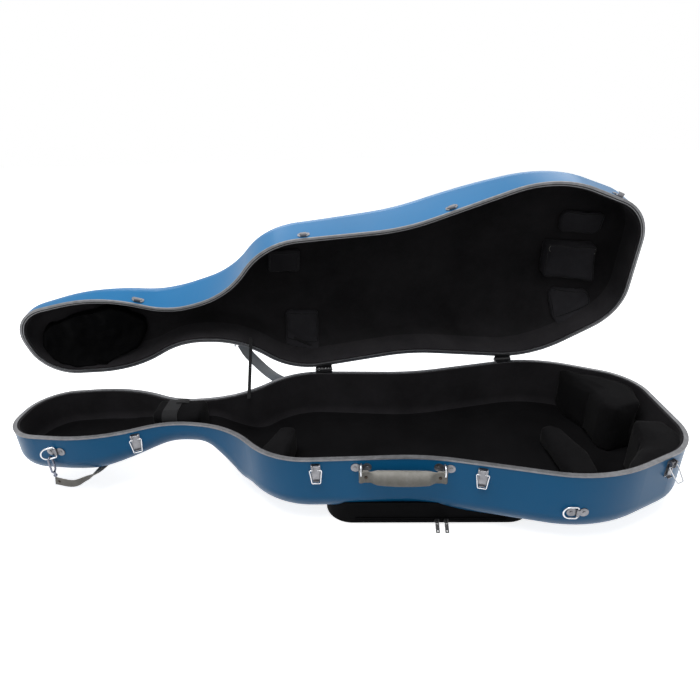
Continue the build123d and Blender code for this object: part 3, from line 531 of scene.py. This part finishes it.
def rubber():
    """Black foam rubber of the gasket."""
    s = Shader("black_rubber")
    s.set(Base_Color=s.ramp(s.noise(150.0), (0.008, 0.008, 0.008), (0.016, 0.016, 0.016)))
    s.set(Roughness=s.map(s.noise(90.0), 0.65, 0.85))
    s.bump(s.noise(900.0), 0.2, 0.0003)
    return s.material


# The pressed-down and the brushed-up tone of each plush copy. The copies are one black plush, made darker or
# lighter by where it lies: painted shade on the sunken base floor, the neck rest and the pads, and painted
# light on the base walls, the lid's crown and walls and the pockets that catch the light.
PLUSH_TONES_LIT_AND_SHADED = {
    "black_plush": ((0.0030, 0.0029, 0.0033), (0.0085, 0.0082, 0.0090)),
    "pad_plush": ((0.0055, 0.0053, 0.0058), (0.0115, 0.0112, 0.0120)),
    "wall_plush": ((0.0140, 0.0132, 0.0146), (0.0310, 0.0292, 0.0320)),
    "crown_plush": ((0.0165, 0.0155, 0.0168), (0.0380, 0.0360, 0.0385)),
    "lid_wall_plush": ((0.0260, 0.0245, 0.0270), (0.0540, 0.0510, 0.0550)),
    "pocket_plush": ((0.0280, 0.0270, 0.0305), (0.0560, 0.0540, 0.0600)),
}


def plush(sizes, name):
    """Short-pile plush: dark, with a soft sheen at glancing angles and brushed patches, in the copy that its
    name picks; the copies' tones are painted shade and painted light.
    """
    s = Shader(name)
    low, high = PLUSH_TONES_LIT_AND_SHADED[name]
    patch = s.noise(9.0, 4.0, 0.6)
    pile = s.noise(sizes.plush_scale, 2.0, 0.7)
    s.set(Base_Color=s.ramp(s.mixed(patch, pile, 0.6), low, high, 0.35, 0.65))
    s.set(Roughness=s.map(patch, 0.85, 1.0), Sheen_Weight=0.03, Sheen_Roughness=0.4, Specular_IOR_Level=0.06)
    under = s.bump(pile, 0.35, 0.0006)
    s.bump(s.noise(45.0, 3.0), 0.15, 0.0015, under)
    return s.material


def webbing(sizes, name, low, high):
    """Woven strap with herringbone threads, on the strap's own lengthwise attribute."""
    s = Shader(name)
    own = s.node("ShaderNodeAttribute", attribute_name="Strap").outputs["Vector"]
    parts = s.node("ShaderNodeSeparateXYZ", {"Vector": own}).outputs
    slant = s.maths("ADD", parts["X"], s.maths("ABSOLUTE", parts["Y"]))
    thread = s.maths("SINE", s.maths("MULTIPLY", slant, sizes.weave_scale * 4))
    cross = s.maths("SINE", s.maths("MULTIPLY", parts["Y"], sizes.weave_scale * 7))
    weave = s.mixed(thread, cross, 0.5)
    shade = s.mixed(s.map(weave, 0.0, 1.0), s.noise(70.0), 0.7)
    s.set(Base_Color=s.ramp(shade, low, high, 0.2, 0.8))
    s.set(Roughness=s.map(s.noise(200.0), 0.7, 0.9), Sheen_Weight=0.15, Specular_IOR_Level=0.25)
    s.bump(weave, 0.4, 0.0004)
    return s.material


def nylon():
    """Black woven nylon of the pouch and the bag."""
    s = Shader("black_nylon")
    inputs = {"Vector": s.coords, "Scale": 260.0, "Distortion": 0.6}
    bands = s.node("ShaderNodeTexWave", inputs, wave_type="BANDS", bands_direction="DIAGONAL").outputs["Fac"]
    shade = s.mixed(bands, s.noise(40.0), 0.5)
    s.set(Base_Color=s.ramp(shade, (0.0015, 0.0015, 0.0018), (0.005, 0.005, 0.0055)))
    s.set(Roughness=s.map(s.noise(60.0), 0.55, 0.75), Specular_IOR_Level=0.03)
    s.bump(bands, 0.25, 0.0003)
    return s.material


def leather(sizes):
    """Grey-beige leather with grain and creases, darker where the crease relief sinks, as painted shade in
    the creases.
    """
    s = Shader("grey_leather")
    inputs = {"Vector": s.coords, "Scale": 900.0}
    grain = s.node("ShaderNodeTexVoronoi", inputs, feature="DISTANCE_TO_EDGE").outputs["Distance"]
    crease = s.noise(70.0, 6.0, 0.65)
    # The colour follows the crease relief: darker in the sunken creases, as painted shade.
    s.set(Base_Color=s.ramp(crease, sizes.leather_in_creases, sizes.leather_on_ridges))
    s.set(Roughness=s.map(crease, 0.5, 0.68), Specular_IOR_Level=0.4)
    under = s.bump(grain, 0.35, 0.0004)
    s.bump(crease, 0.2, 0.0008, under)
    return s.material


# Each material slot's finish, filled by the first operator.
FINISHES = {}


def make_finishes(sizes):
    """Makes the finish of every material slot."""
    FINISHES["blue_shell"] = lacquer(sizes)
    FINISHES["rim_metal"] = rim_metal(sizes)
    # The plated sheet parts: the plating made dark, as painted shade.
    FINISHES["chrome_hardware"] = plated("plated_sheet_shaded_copy", (0.15, 0.15, 0.16), (0.24, 0.24, 0.255), 0.26, 0.42)
    FINISHES["black_steel"] = black_steel()
    FINISHES["dark_bronze"] = bronze()
    FINISHES["black_rubber"] = rubber()
    FINISHES["black_plush"] = plush(sizes, "black_plush")
    FINISHES["black_webbing"] = webbing(sizes, "black_webbing", (0.004, 0.004, 0.005), (0.013, 0.013, 0.014))
    FINISHES["grey_webbing"] = webbing(sizes, "grey_webbing", (0.22, 0.215, 0.195), (0.36, 0.35, 0.32))
    FINISHES["grey_leather"] = leather(sizes)
    FINISHES["black_nylon"] = nylon()


# The small round of a stamped or drawn metal edge, and the angle from which an edge has one.
METAL_SLOTS = ("chrome_hardware", "black_steel", "rim_metal")
EDGE_ROUND = 0.0003
EDGE_ANGLE = math.radians(40)


class CASE_OT_metal(bpy.types.Operator):
    """Finishes the shells, rims and hardware, and softens the edges of the rims and hardware"""

    bl_idname = "cello_case.metal"
    bl_label = "Shells and Hardware"

    def execute(self, context):
        make_finishes(context.scene.case_finish)
        # The rings and bails: the same plating made much brighter, as painted light.
        wire = plated("plated_wire_lit_copy", (0.50, 0.51, 0.53), (0.64, 0.65, 0.67), 0.16, 0.30)
        gunmetal = plated("dark_plating", (0.10, 0.11, 0.14), (0.20, 0.21, 0.26), 0.2, 0.36)
        slots = {entry["node"]: entry["material_slot"] for entry in frame["record"]["subparts"]}
        for name, obj in frame["nodes"].items():
            look = FINISHES[slots[name]]
            if ("ring" in name and "plate" not in name) or "bail" in name:
                look = wire
            elif name == "head_hooks":
                look = gunmetal
            obj.data.materials.clear()
            obj.data.materials.append(look)
            smooth(obj, 32)
            if slots[name] in METAL_SLOTS:
                soften = obj.modifiers.new("soft edges", "BEVEL")
                soften.width = EDGE_ROUND
                soften.segments = 2
                soften.limit_method = "ANGLE"
                soften.angle_limit = EDGE_ANGLE
        return {"FINISHED"}


class CASE_OT_linings(bpy.types.Operator):
    """Lines the base and the lid with plush"""

    bl_idname = "cello_case.linings"
    bl_label = "Linings"

    def execute(self, context):
        sizes = context.scene.case_finish
        # The lining's plush in copies by where it lies: the base floor darkest, as painted shade, and the
        # base walls, the lid's crown and the lid's walls lighter in turn, as painted light.
        wall = plush(sizes, "wall_plush")
        crown = plush(sizes, "crown_plush")
        lid_wall = plush(sizes, "lid_wall_plush")
        for node, body, look in (
                ("base_wall_lining", "base", wall), ("base_floor_lining", "base", FINISHES["black_plush"]),
                ("lid_wall_lining", "lid", lid_wall), ("lid_floor_lining", "lid", crown)):
            obj = copy_of_node("plush_" + node, node)
            smooth(obj, 35)
            finish_piece(obj, body, look, "black_plush", node)
        return {"FINISHED"}


# How far the cloth of the firm blocks and of the softer neck rest is uneven.
BLOCK_RIPPLE = 0.0006
REST_RIPPLE = 0.0022

# The loose end of the neck rest's band, standing off the rest.
BAND_END = (
    (-0.350, 0.014, 0.1760), (-0.341, 0.014, 0.1768), (-0.331, 0.015, 0.1760), (-0.324, 0.016, 0.1742))
BAND_END_HALF = 0.008
BAND_END_SHEET = 0.0016


class CASE_OT_foam(bpy.types.Operator):
    """Foam blocks and pads of the base, and the neck rest with its band"""

    bl_idname = "cello_case.foam"
    bl_label = "Foam Pads"

    def execute(self, context):
        sizes = context.scene.case_soft
        # The pads take a dark copy of the plush, as painted shade: darker than the walls and lighter than
        # the base floor.
        look = plush(context.scene.case_finish, "pad_plush")
        blocks = ("side_block_hinge", "side_block_latch", "curved_pad", "upper_bout_pad")
        for seed, node in enumerate(blocks, 1):
            pad("base", node, look, sizes, BLOCK_RIPPLE, seed)
        pad("base", "neck_rest", FINISHES["black_plush"], sizes, REST_RIPPLE, 9.0)
        band = copy_of_node("band_neck_rest", "neck_rest_band")
        smooth(band, 40)
        finish_piece(band, "base", FINISHES["black_webbing"], "black_webbing", "neck_rest_band")
        route = [(place, (0, 1, 0)) for place in BAND_END]
        tail = strap("band_tail", route, BAND_END_HALF, BAND_END_SHEET, 6)
        finish_piece(tail, "base", FINISHES["black_webbing"], "black_webbing")
        return {"FINISHED"}


# Outlines of the pads in the lid, on the closed plan in millimetres, and the piping along them.
LID_PADS = (
    ("bow_clip_low", "bow_clips", ((-118, 74), (-36, 88), (-50, 194), (-136, 181))),
    ("bow_clip_high", "bow_clips", ((-125, -101), (-52, -90), (-63, -30), (-138, -41))),
    ("bow_pocket_high", "bow_pockets", ((548, -104), (654, -84), (654, -28), (560, -42))),
    ("bow_pocket_low", "bow_pockets", ((548, 106), (652, 118), (640, 180), (560, 190))),
    ("rosin", "rosin_pouch", ((530, -22), (648, -4), (652, 88), (528, 66))),
)
PIPING_INSET = 5.0
PIPING_STEP = 7.0
PIPING_RADIUS = 0.0011

# The elastic on the low bow clip: plan places in millimetres, and how far it stands off the clip.
ELASTIC_LOOP = (
    (-108, 140, 0.0005), (-98, 146, 0.003), (-87, 152, 0.0034), (-76, 157, 0.003), (-67, 161, 0.0005))
ELASTIC_HALF = 0.005
ELASTIC_SHEET = 0.0014

# The pulls at the upper corners of the pouch: plan place and bow to the side, in millimetres.
CORNER_PULLS = (("left", 538, -16, -3), ("right", 642, 1, 3))
PULL_REACH = 7
PULL_LIFT = 0.0004
PULL_RADIUS = 0.0006

POCKET_RIPPLE = 0.0008

# The bag's mesh hangs in wide folds with narrow ones among them: height, size and place in the noise.
BAG_FOLDS = ((0.009, 0.050, 5.0), (0.004, 0.020, 8.0))


def hit_on_lid(tree, x, y):
    """Where a line up into the lid from a point of the closed plan meets a pad, and its direction."""
    start = opened(x, y, 0)
    aim = (opened(x, y, 100) - start).normalized()
    return tree.ray_cast(start, aim)[0], aim


def lid_line(tree, corners):
    """A line round a pad in the lid, inset from its edge, laid on the pad's face."""
    corners = [Vector(corner) for corner in corners]
    middle = sum(corners, Vector((0, 0))) / len(corners)
    result = []
    for place in along(corners, PIPING_STEP):
        place = place + (middle - place).normalized() * PIPING_INSET
        hit = hit_on_lid(tree, place.x, place.y)[0]
        if hit is not None:
            result.append(hit)
    return result


def on_lid(tree, x, y, lift):
    """A point on a lid pad's face, lifted off it, over a point of the closed plan."""
    hit, aim = hit_on_lid(tree, x, y)
    if hit is None:
        raise RuntimeError(f"no pad over {x}, {y}")
    return hit - aim * lift


class CASE_OT_lid_pads(bpy.types.Operator):
    """Bow clips, pockets, pouch and bag on the inside of the lid"""

    bl_idname = "cello_case.lid_pads"
    bl_label = "Lid Pockets"

    def execute(self, context):
        sizes = context.scene.case_soft
        # The pockets take the lightest copy of the plush, as painted light.
        look = plush(context.scene.case_finish, "pocket_plush")
        pieces = {}
        for seed, node in enumerate(("bow_clips", "bow_pockets", "rosin_pouch"), 20):
            pieces[node] = pad("lid", node, look, sizes, POCKET_RIPPLE, seed)
        trees = {node: tree_of(piece) for node, piece in pieces.items()}
        for name, node, corners in LID_PADS:
            piping = tube(f"piping_{name}_0", lid_line(trees[node], corners), PIPING_RADIUS, True)
            finish_piece(piping, "lid", FINISHES["black_webbing"], "black_webbing")
        wide = opened(0, 1, 0) - opened(0, 0, 0)
        route = [(on_lid(trees["bow_clips"], x, y, lift), wide) for x, y, lift in ELASTIC_LOOP]
        loop = strap("elastic_loop", route, ELASTIC_HALF, ELASTIC_SHEET, 6)
        finish_piece(loop, "lid", FINISHES["black_webbing"], "black_webbing")
        for name, x, y, bow in CORNER_PULLS:
            line = []
            for t in (-1, -0.5, 0, 0.5, 1):
                line.append(on_lid(
                    trees["rosin_pouch"], x + bow * (1 - t * t), y + PULL_REACH + PULL_REACH * t, PULL_LIFT))
            pull = tube("corner_pull_" + name, line, PULL_RADIUS)
            finish_piece(pull, "lid", FINISHES["grey_webbing"], "grey_webbing")
        bag = copy_of_node("mesh_bag", "accessory_bag")
        remesh(bag, sizes.voxel)
        for height, size, seed in BAG_FOLDS:
            ripple(bag, height, size, seed)
        smooth(bag, 60)
        finish_piece(bag, "lid", FINISHES["black_nylon"], "black_nylon", "accessory_bag")
        return {"FINISHED"}


# The zip's tape and one tooth in section, as depth and height, and how far the teeth lean by turns.
ZIP_SEAT = 0.0012
TAPE_BACK = 0.001
TAPE = (
    (0.0, -0.005), (-0.0006, -0.0049), (-0.0008, -0.0018),
    (-0.0008, 0.0018), (-0.0006, 0.0049), (0.0, 0.005))
TOOTH = ((0.0004, -0.0017), (-0.0012, -0.0011), (-0.0012, 0.0011), (0.0004, 0.0017))
TOOTH_PITCH = 0.0016
TOOTH_HALF = 0.00055
TOOTH_LEAN = 0.0004


def zip_chain(low, high):
    """The zip's tape with its teeth, along a box."""
    y = low.y + ZIP_SEAT
    z = (low.z + high.z) / 2
    verts = [(x, y + TAPE_BACK + a, z + b) for x in (low.x, high.x) for a, b in TAPE]
    count = len(TAPE)
    faces = [(i, i + 1, i + 1 + count, i + count) for i in range(count - 1)]
    teeth = round((high.x - low.x) / TOOTH_PITCH)
    for i in range(teeth):
        x = low.x + (i + 0.5) * (high.x - low.x) / teeth
        lean = TOOTH_LEAN if i % 2 else -TOOTH_LEAN
        start = len(verts)
        verts += [(x + a, y + b, z + c + lean) for a in (-TOOTH_HALF, TOOTH_HALF) for b, c in TOOTH]
        faces.append(tuple(range(start, start + 4)))
        faces.append(tuple(reversed(range(start + 4, start + 8))))
        for k in range(4):
            faces.append((start + k, start + 4 + k, start + 4 + (k + 1) % 4, start + (k + 1) % 4))
    return mesh_object("zip_chain", verts, faces)


class CASE_OT_music_pouch(bpy.types.Operator):
    """Music pouch under the base, with its zip"""

    bl_idname = "cello_case.music_pouch"
    bl_label = "Music Pouch"

    def execute(self, context):
        pouch = copy_of_node("nylon_pouch", "music_pouch")
        smooth(pouch, 35)
        finish_piece(pouch, "base", FINISHES["black_nylon"], "black_nylon", "music_pouch")
        zipper = zip_chain(*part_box("pouch_zip"))
        smooth(zipper, 40)
        finish_piece(zipper, "base", FINISHES["black_nylon"], "black_nylon", "pouch_zip")
        return {"FINISHED"}


# Where the handle lies between its rings, its direction along the wall and the way out of the wall.
HANDLE_PLACE = (0.1313, -0.1761, 0.140)
HANDLE_ALONG = Vector((0.99967, -0.02563, 0))
HANDLE_OUT = Vector((-0.02563, -0.99967, 0))
HANDLE = Matrix.Translation(HANDLE_PLACE) @ Matrix(
    (HANDLE_ALONG, HANDLE_OUT, Vector((0, 0, 1)))).transposed().to_4x4()

# The grip: half its length, how far it stands off, and its middle's drop below the rings with its sag.
GRIP_HALF = 0.0660
GRIP_OUT = 0.0150
GRIP_DROP = 0.0092
GRIP_SAG = 0.0022
# Half the grip's height and depth, and what each gains at its middle.
GRIP_TALL = 0.0136
GRIP_TALL_GAIN = 0.0026
GRIP_DEEP = 0.0112
GRIP_DEEP_GAIN = 0.0014
# Towards its ends the grip flattens into the two tabs: from where, over how long, and how flat.
FLAT_FROM = 0.70
FLAT_RUN = 0.28
FLAT_TALL = 0.0124
FLAT_DEEP = 0.0009
FLAT_OUT = 0.0141
GRIP_SIDES = 28
GRIP_STEPS = 48

# A tab's way from the grip round the ring and back under, as places along and out from the wall.
TAB_ROUTE = (
    (0.0615, 0.0142), (0.0665, 0.0141), (0.0715, 0.0141), (0.0752, 0.0158), (0.0786, 0.0162),
    (0.0803, 0.0138), (0.0792, 0.0112), (0.0765, 0.0104), (0.0725, 0.0116), (0.064, 0.0117))
TAB_HALF = 0.0126
TAB_SHEET = 0.0021

# The stitches: where the long rows run, how far they lie from the middle, and the bow of the end row.
STITCHES_ALONG = (0.0525, 0.058, 0.064, 0.070, 0.076)
STITCHES_UP = 0.0104
STITCHES_BOW = 0.003
STITCH_LIFT = 0.0002
# A distance out from the wall that is clear of the handle.
CLEAR_OUT = 0.06


def leather_grip():
    """A bowed grip that flattens into its tabs."""
    verts = []
    for i in range(GRIP_STEPS + 1):
        t = -1 + 2 * i / GRIP_STEPS
        flat = min(1.0, max(0.0, (abs(t) - FLAT_FROM) / FLAT_RUN))
        flat = flat * flat * (3 - 2 * flat)
        bow = math.cos(t * math.pi / 2)
        tall = (1 - flat) * (GRIP_TALL + GRIP_TALL_GAIN * bow) + flat * FLAT_TALL
        deep = (1 - flat) * (GRIP_DEEP + GRIP_DEEP_GAIN * bow) + flat * FLAT_DEEP
        out = (1 - flat) * GRIP_OUT + flat * FLAT_OUT
        drop = -GRIP_DROP - GRIP_SAG * bow
        for k in range(GRIP_SIDES):
            turn = 2 * math.pi * k / GRIP_SIDES
            verts.append((GRIP_HALF * t, out + deep * math.cos(turn), drop + tall * math.sin(turn)))
    faces = ring_faces(GRIP_STEPS + 1, GRIP_SIDES)
    faces.append(tuple(reversed(range(GRIP_SIDES))))
    faces.append(tuple(range(len(verts) - GRIP_SIDES, len(verts))))
    grip = mesh_object("leather_grip", verts, faces)
    grip.data.transform(HANDLE)
    smooth(grip, 45)
    return grip


def stitch_rows():
    """The rows of stitches at one end of the handle, as places along and up."""
    end = []
    for t in (-1, -0.5, 0, 0.5, 1):
        end.append((STITCHES_ALONG[0] - STITCHES_BOW * (1 - t * t), -GRIP_DROP + STITCHES_UP * t))
    return {
        "top": [(x, -GRIP_DROP + STITCHES_UP) for x in STITCHES_ALONG],
        "low": [(x, -GRIP_DROP - STITCHES_UP) for x in STITCHES_ALONG],
        "end": end,
    }


def on_handle(trees, x, up):
    """The outermost point of the handle's leather at a place along and up."""
    out_way = HANDLE.to_3x3() @ Vector((0, 1, 0))
    start = HANDLE @ Vector((x, CLEAR_OUT, up))
    hits = [tree.ray_cast(start, -out_way)[0] for tree in trees]
    return max((hit for hit in hits if hit), key=lambda hit: hit.dot(out_way)) + out_way * STITCH_LIFT


class CASE_OT_handle(bpy.types.Operator):
    """Leather handle with a bowed, stitched grip and a folded tab round each ring"""

    bl_idname = "cello_case.handle"
    bl_label = "Handle"

    def execute(self, context):
        grip = leather_grip()
        finish_piece(grip, "handle", FINISHES["grey_leather"], "grey_leather", "handle_grip")
        trees = [tree_of(grip)]
        for name, side in (("left", -1), ("right", 1)):
            route = [(HANDLE @ Vector((side * x, out, -GRIP_DROP)), (0, 0, 1)) for x, out in TAB_ROUTE]
            tab = strap(f"leather_tab_{name}", route, TAB_HALF, TAB_SHEET, 6)
            finish_piece(tab, "handle", FINISHES["grey_leather"], "grey_leather")
            trees.append(tree_of(tab))
            for label, row in stitch_rows().items():
                points = [on_handle(trees, side * x, up) for x, up in row]
                thread = stitch_row(f"stitches_{name}_{label}", points)
                finish_piece(thread, "handle", FINISHES["grey_webbing"], "grey_webbing")
        return {"FINISHED"}


# The stay strap: how far its ends' faces stand in from its box, half its width and its thickness.
STAY_IN = 0.0008
STAY_HALF = 0.0036
STAY_SHEET = 0.0015

# The carry strap from the lid's ring down behind the case to the lower ring, with its width's direction.
CARRY_ROUTE = (
    ((-0.233, 0.171, 0.240), (0.98, 0, 0.2)),
    ((-0.214, 0.174, 0.202), (0.85, 0, 0.5)),
    ((-0.156, 0.177, 0.140), (0.6, 0, 0.8)),
    ((-0.070, 0.182, 0.102), (0.35, 0, 0.94)),
    ((0.060, 0.178, 0.084), (0, 0, 1)),
    ((0.220, 0.185, 0.074), (0, 0, 1)),
    ((0.340, 0.214, 0.072), (0, 0, 1)),
    ((0.413, 0.227, 0.077), (0, 0, 1)),
)

# The sling from its front hook, as steps from the hook's eye, to its middle under the head.
SLING_HOOK = Vector((-0.58245, -0.108167, 0.0598))
SLING_FRONT = (
    ((-0.004, 0, 0), (0, 0, 1)),
    ((0.030, -0.001, -0.007), (0.1, -0.1, 1)),
    ((0.054, 0.004, -0.001), (0.1, -0.5, 0.9)),
    ((0.072, 0.030, -0.001), (1, 0.2, 0.35)),
)
SLING_MIDDLE = (Vector((-0.499, 0, 0.0600)), Vector((1, 0, 0)))

# The studs that close the sling's ends: their step from the hook's eye, radius and height.
STUD_STEP = (0.005, 0.0012, 0.001)
STUD_RADIUS = 0.0032
STUD_HEIGHT = 0.0014


def across_case(point):
    """The same point on the other side of the case's middle."""
    return Vector((point.x, -point.y, point.z))


class CASE_OT_straps(bpy.types.Operator):
    """Stay strap, carry strap and the strap under the head"""

    bl_idname = "cello_case.straps"
    bl_label = "Straps"

    def execute(self, context):
        sizes = context.scene.case_strap
        low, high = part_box("stay_strap")
        foot = Vector(((low.x + high.x) / 2, low.y + STAY_IN, low.z))
        head = Vector(((low.x + high.x) / 2, high.y - STAY_IN, high.z))
        route = [(foot.lerp(head, share), (1, 0, 0)) for share in (0.0, 0.3, 0.7, 1.0)]
        stay = strap("stay_webbing", route, STAY_HALF, STAY_SHEET, 12)
        finish_piece(stay, None, FINISHES["black_webbing"], "black_webbing", "stay_strap")
        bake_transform(stay)
        carry = strap("carry_webbing", CARRY_ROUTE, sizes.carry_half, sizes.sheet, 12)
        # The carry strap gets a paler copy of the grey webbing, as painted light, since it lies in shade
        # behind the case.
        looks = context.scene.case_finish
        pale = webbing(looks, "grey_webbing_painted_light", looks.carry_dark, looks.carry_pale)
        finish_piece(carry, None, pale, "grey_webbing", "carry_strap")
        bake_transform(carry)
        front = [(SLING_HOOK + Vector(step), Vector(across)) for step, across in SLING_FRONT]
        back = [(across_case(place), across_case(across)) for place, across in reversed(front)]
        sling = strap("sling_webbing", [*front, SLING_MIDDLE, *back], sizes.sling_half, sizes.sheet, 10)
        finish_piece(sling, "head_sling", FINISHES["grey_leather"], "grey_webbing", "head_strap")
        for name, side in (("front", 1), ("back", -1)):
            x, y, z = STUD_STEP
            place = Vector((SLING_HOOK.x + x, SLING_HOOK.y * side - y * side, SLING_HOOK.z - z))
            cap = stud("sling_stud_" + name, place, Vector((0, -side, 0)), STUD_RADIUS, STUD_HEIGHT)
            finish_piece(cap, "head_sling", FINISHES["dark_bronze"], "dark_bronze")
        return {"FINISHED"}


# The floor's size and how far it lies under the pouch, and the light that it sends on.
FLOOR_SIZE = 16.0
FLOOR_DROP = 0.0004
FLOOR_DIM = (0.2, 0.2, 0.2, 1)
FLOOR_GLOW = 0.8
WHITE = (1, 1, 1, 1)
SKY = (0.96, 0.98, 1.0, 1)

# The camera, solved from the photograph: its place, and its yaw, pitch and roll in degrees.
CAMERA_PLACE = (0.0677, -0.9287, 0.5826 + RIM_Z)
CAMERA_TURN = (-2.117, 25.421, -1.721)
SENSOR = 36
FAR_CLIP = 50


def studio_floor():
    """A pale floor, which sends little light back up and shows white from the camera."""
    bpy.ops.object.select_all(action="DESELECT")
    bpy.ops.mesh.primitive_grid_add(
        x_subdivisions=8, y_subdivisions=8, size=FLOOR_SIZE, location=(0, 0, -FLOOR_DROP))
    floor = bpy.context.object
    floor.name = "floor"
    s = Shader("pale_floor")
    path = s.node("ShaderNodeLightPath").outputs
    mirrored = s.maths("MAXIMUM", path["Is Camera Ray"], path["Is Glossy Ray"])
    seen = s.maths("MAXIMUM", mirrored, path["Is Transmission Ray"])
    pale = s.ramp(s.noise(2.0), (0.90, 0.90, 0.90), (0.93, 0.93, 0.93))
    shown = s.node("ShaderNodeMixRGB", {"Fac": seen, "Color1": FLOOR_DIM, "Color2": pale})
    s.set(Base_Color=shown.outputs["Color"], Roughness=0.9, Specular_IOR_Level=0.05)
    s.set(Emission_Color=WHITE, Emission_Strength=s.maths("MULTIPLY", seen, FLOOR_GLOW))
    floor.data.materials.append(s.material)


def studio_surround(scene, strength):
    """A surround that is white where it is seen or mirrored, and lights the case softly."""
    world = bpy.data.worlds.new("studio")
    scene.world = world
    world.use_nodes = True
    tree = world.node_tree
    path = add_node(tree, "ShaderNodeLightPath").outputs
    inputs = {0: path["Is Glossy Ray"], 1: path["Is Transmission Ray"]}
    mirrored = add_node(tree, "ShaderNodeMath", inputs, operation="MAXIMUM")
    inputs = {0: path["Is Camera Ray"], 1: mirrored.outputs[0]}
    seen = add_node(tree, "ShaderNodeMath", inputs, operation="MAXIMUM")
    white = add_node(tree, "ShaderNodeBackground", {"Color": WHITE, "Strength": 1.0})
    light = tree.nodes["Background"]
    light.inputs["Color"].default_value = SKY
    light.inputs["Strength"].default_value = strength
    inputs = {0: seen.outputs[0], 1: light.outputs[0], 2: white.outputs[0]}
    mix = add_node(tree, "ShaderNodeMixShader", inputs)
    tree.links.new(mix.outputs[0], tree.nodes["World Output"].inputs["Surface"])


def area_light(name, place, target, size, power):
    """A soft light that faces a point."""
    data = bpy.data.lights.new(name, "AREA")
    data.energy = power
    data.shape = "RECTANGLE"
    data.size, data.size_y = size
    obj = new_object(name, data)
    obj.location = place
    obj.rotation_euler = (Vector(target) - Vector(place)).to_track_quat("-Z", "Y").to_euler()


def studio_camera(scene, lens):
    """The camera where the photograph was taken from."""
    yaw, pitch, roll = (math.radians(angle) for angle in CAMERA_TURN)
    ahead = Vector((math.sin(yaw) * math.cos(pitch), math.cos(yaw) * math.cos(pitch), -math.sin(pitch)))
    level = Vector((math.cos(yaw), -math.sin(yaw), 0))
    above = level.cross(ahead)
    right = level * math.cos(roll) + above * math.sin(roll)
    up = above * math.cos(roll) - level * math.sin(roll)
    data = bpy.data.cameras.new("camera")
    data.sensor_width = SENSOR
    data.lens = lens
    data.clip_end = FAR_CLIP
    camera = new_object("camera", data)
    turn = Matrix((right, up, -ahead)).transposed().to_4x4()
    camera.matrix_world = Matrix.Translation(CAMERA_PLACE) @ turn
    scene.camera = camera


class CASE_OT_studio(bpy.types.Operator):
    """Floor, surround, lights and the camera"""

    bl_idname = "cello_case.studio"
    bl_label = "Studio"

    def execute(self, context):
        sizes = context.scene.case_studio
        studio_floor()
        studio_surround(context.scene, sizes.sky)
        area_light("key", (-0.4, -0.2, 2.4), (0.1, 0.1, 0.1), (2.2, 1.4), sizes.key)
        area_light("fill", (0.6, -2.2, 1.3), (0.0, 0.0, 0.15), (2.4, 1.2), sizes.fill)
        area_light("back", (0.2, 2.6, 1.9), (0.0, 0.2, 0.4), (3.6, 1.2), sizes.back)
        studio_camera(context.scene, sizes.lens)
        context.scene.view_settings.view_transform = "Standard"
        return {"FINISHED"}


class CASE_PT_panel(bpy.types.Panel):
    """Sizes and steps of the case"""

    bl_idname = "CASE_PT_panel"
    bl_label = "Cello Case"
    bl_space_type = "VIEW_3D"
    bl_region_type = "UI"
    bl_category = "Cello Case"

    def draw(self, context):
        for name in GROUPS:
            group = getattr(context.scene, name)
            box = self.layout.box()
            for key in group.bl_rna.properties.keys():
                if key not in ("rna_type", "name"):
                    box.prop(group, key)
        for operator in OPERATORS:
            self.layout.operator(operator.bl_idname)


OPERATORS = (
    CASE_OT_metal,
    CASE_OT_linings,
    CASE_OT_foam,
    CASE_OT_lid_pads,
    CASE_OT_music_pouch,
    CASE_OT_handle,
    CASE_OT_straps,
    CASE_OT_studio,
)
GROUPS = {
    "case_finish": CASE_PG_finish,
    "case_soft": CASE_PG_soft,
    "case_strap": CASE_PG_strap,
    "case_studio": CASE_PG_studio,
}


def register():
    for group in GROUPS.values():
        bpy.utils.register_class(group)
    for operator in OPERATORS:
        bpy.utils.register_class(operator)
    bpy.utils.register_class(CASE_PT_panel)
    for name, group in GROUPS.items():
        setattr(bpy.types.Scene, name, PointerProperty(type=group))


def unregister():
    for name in GROUPS:
        delattr(bpy.types.Scene, name)
    bpy.utils.unregister_class(CASE_PT_panel)
    for operator in reversed(OPERATORS):
        bpy.utils.unregister_class(operator)
    for group in GROUPS.values():
        bpy.utils.unregister_class(group)


def main():
    register()
    bpy.ops.cello_case.metal()
    bpy.ops.cello_case.linings()
    bpy.ops.cello_case.foam()
    bpy.ops.cello_case.lid_pads()
    bpy.ops.cello_case.music_pouch()
    bpy.ops.cello_case.handle()
    bpy.ops.cello_case.straps()
    bpy.ops.cello_case.studio()


if __name__ == "__main__":
    main()
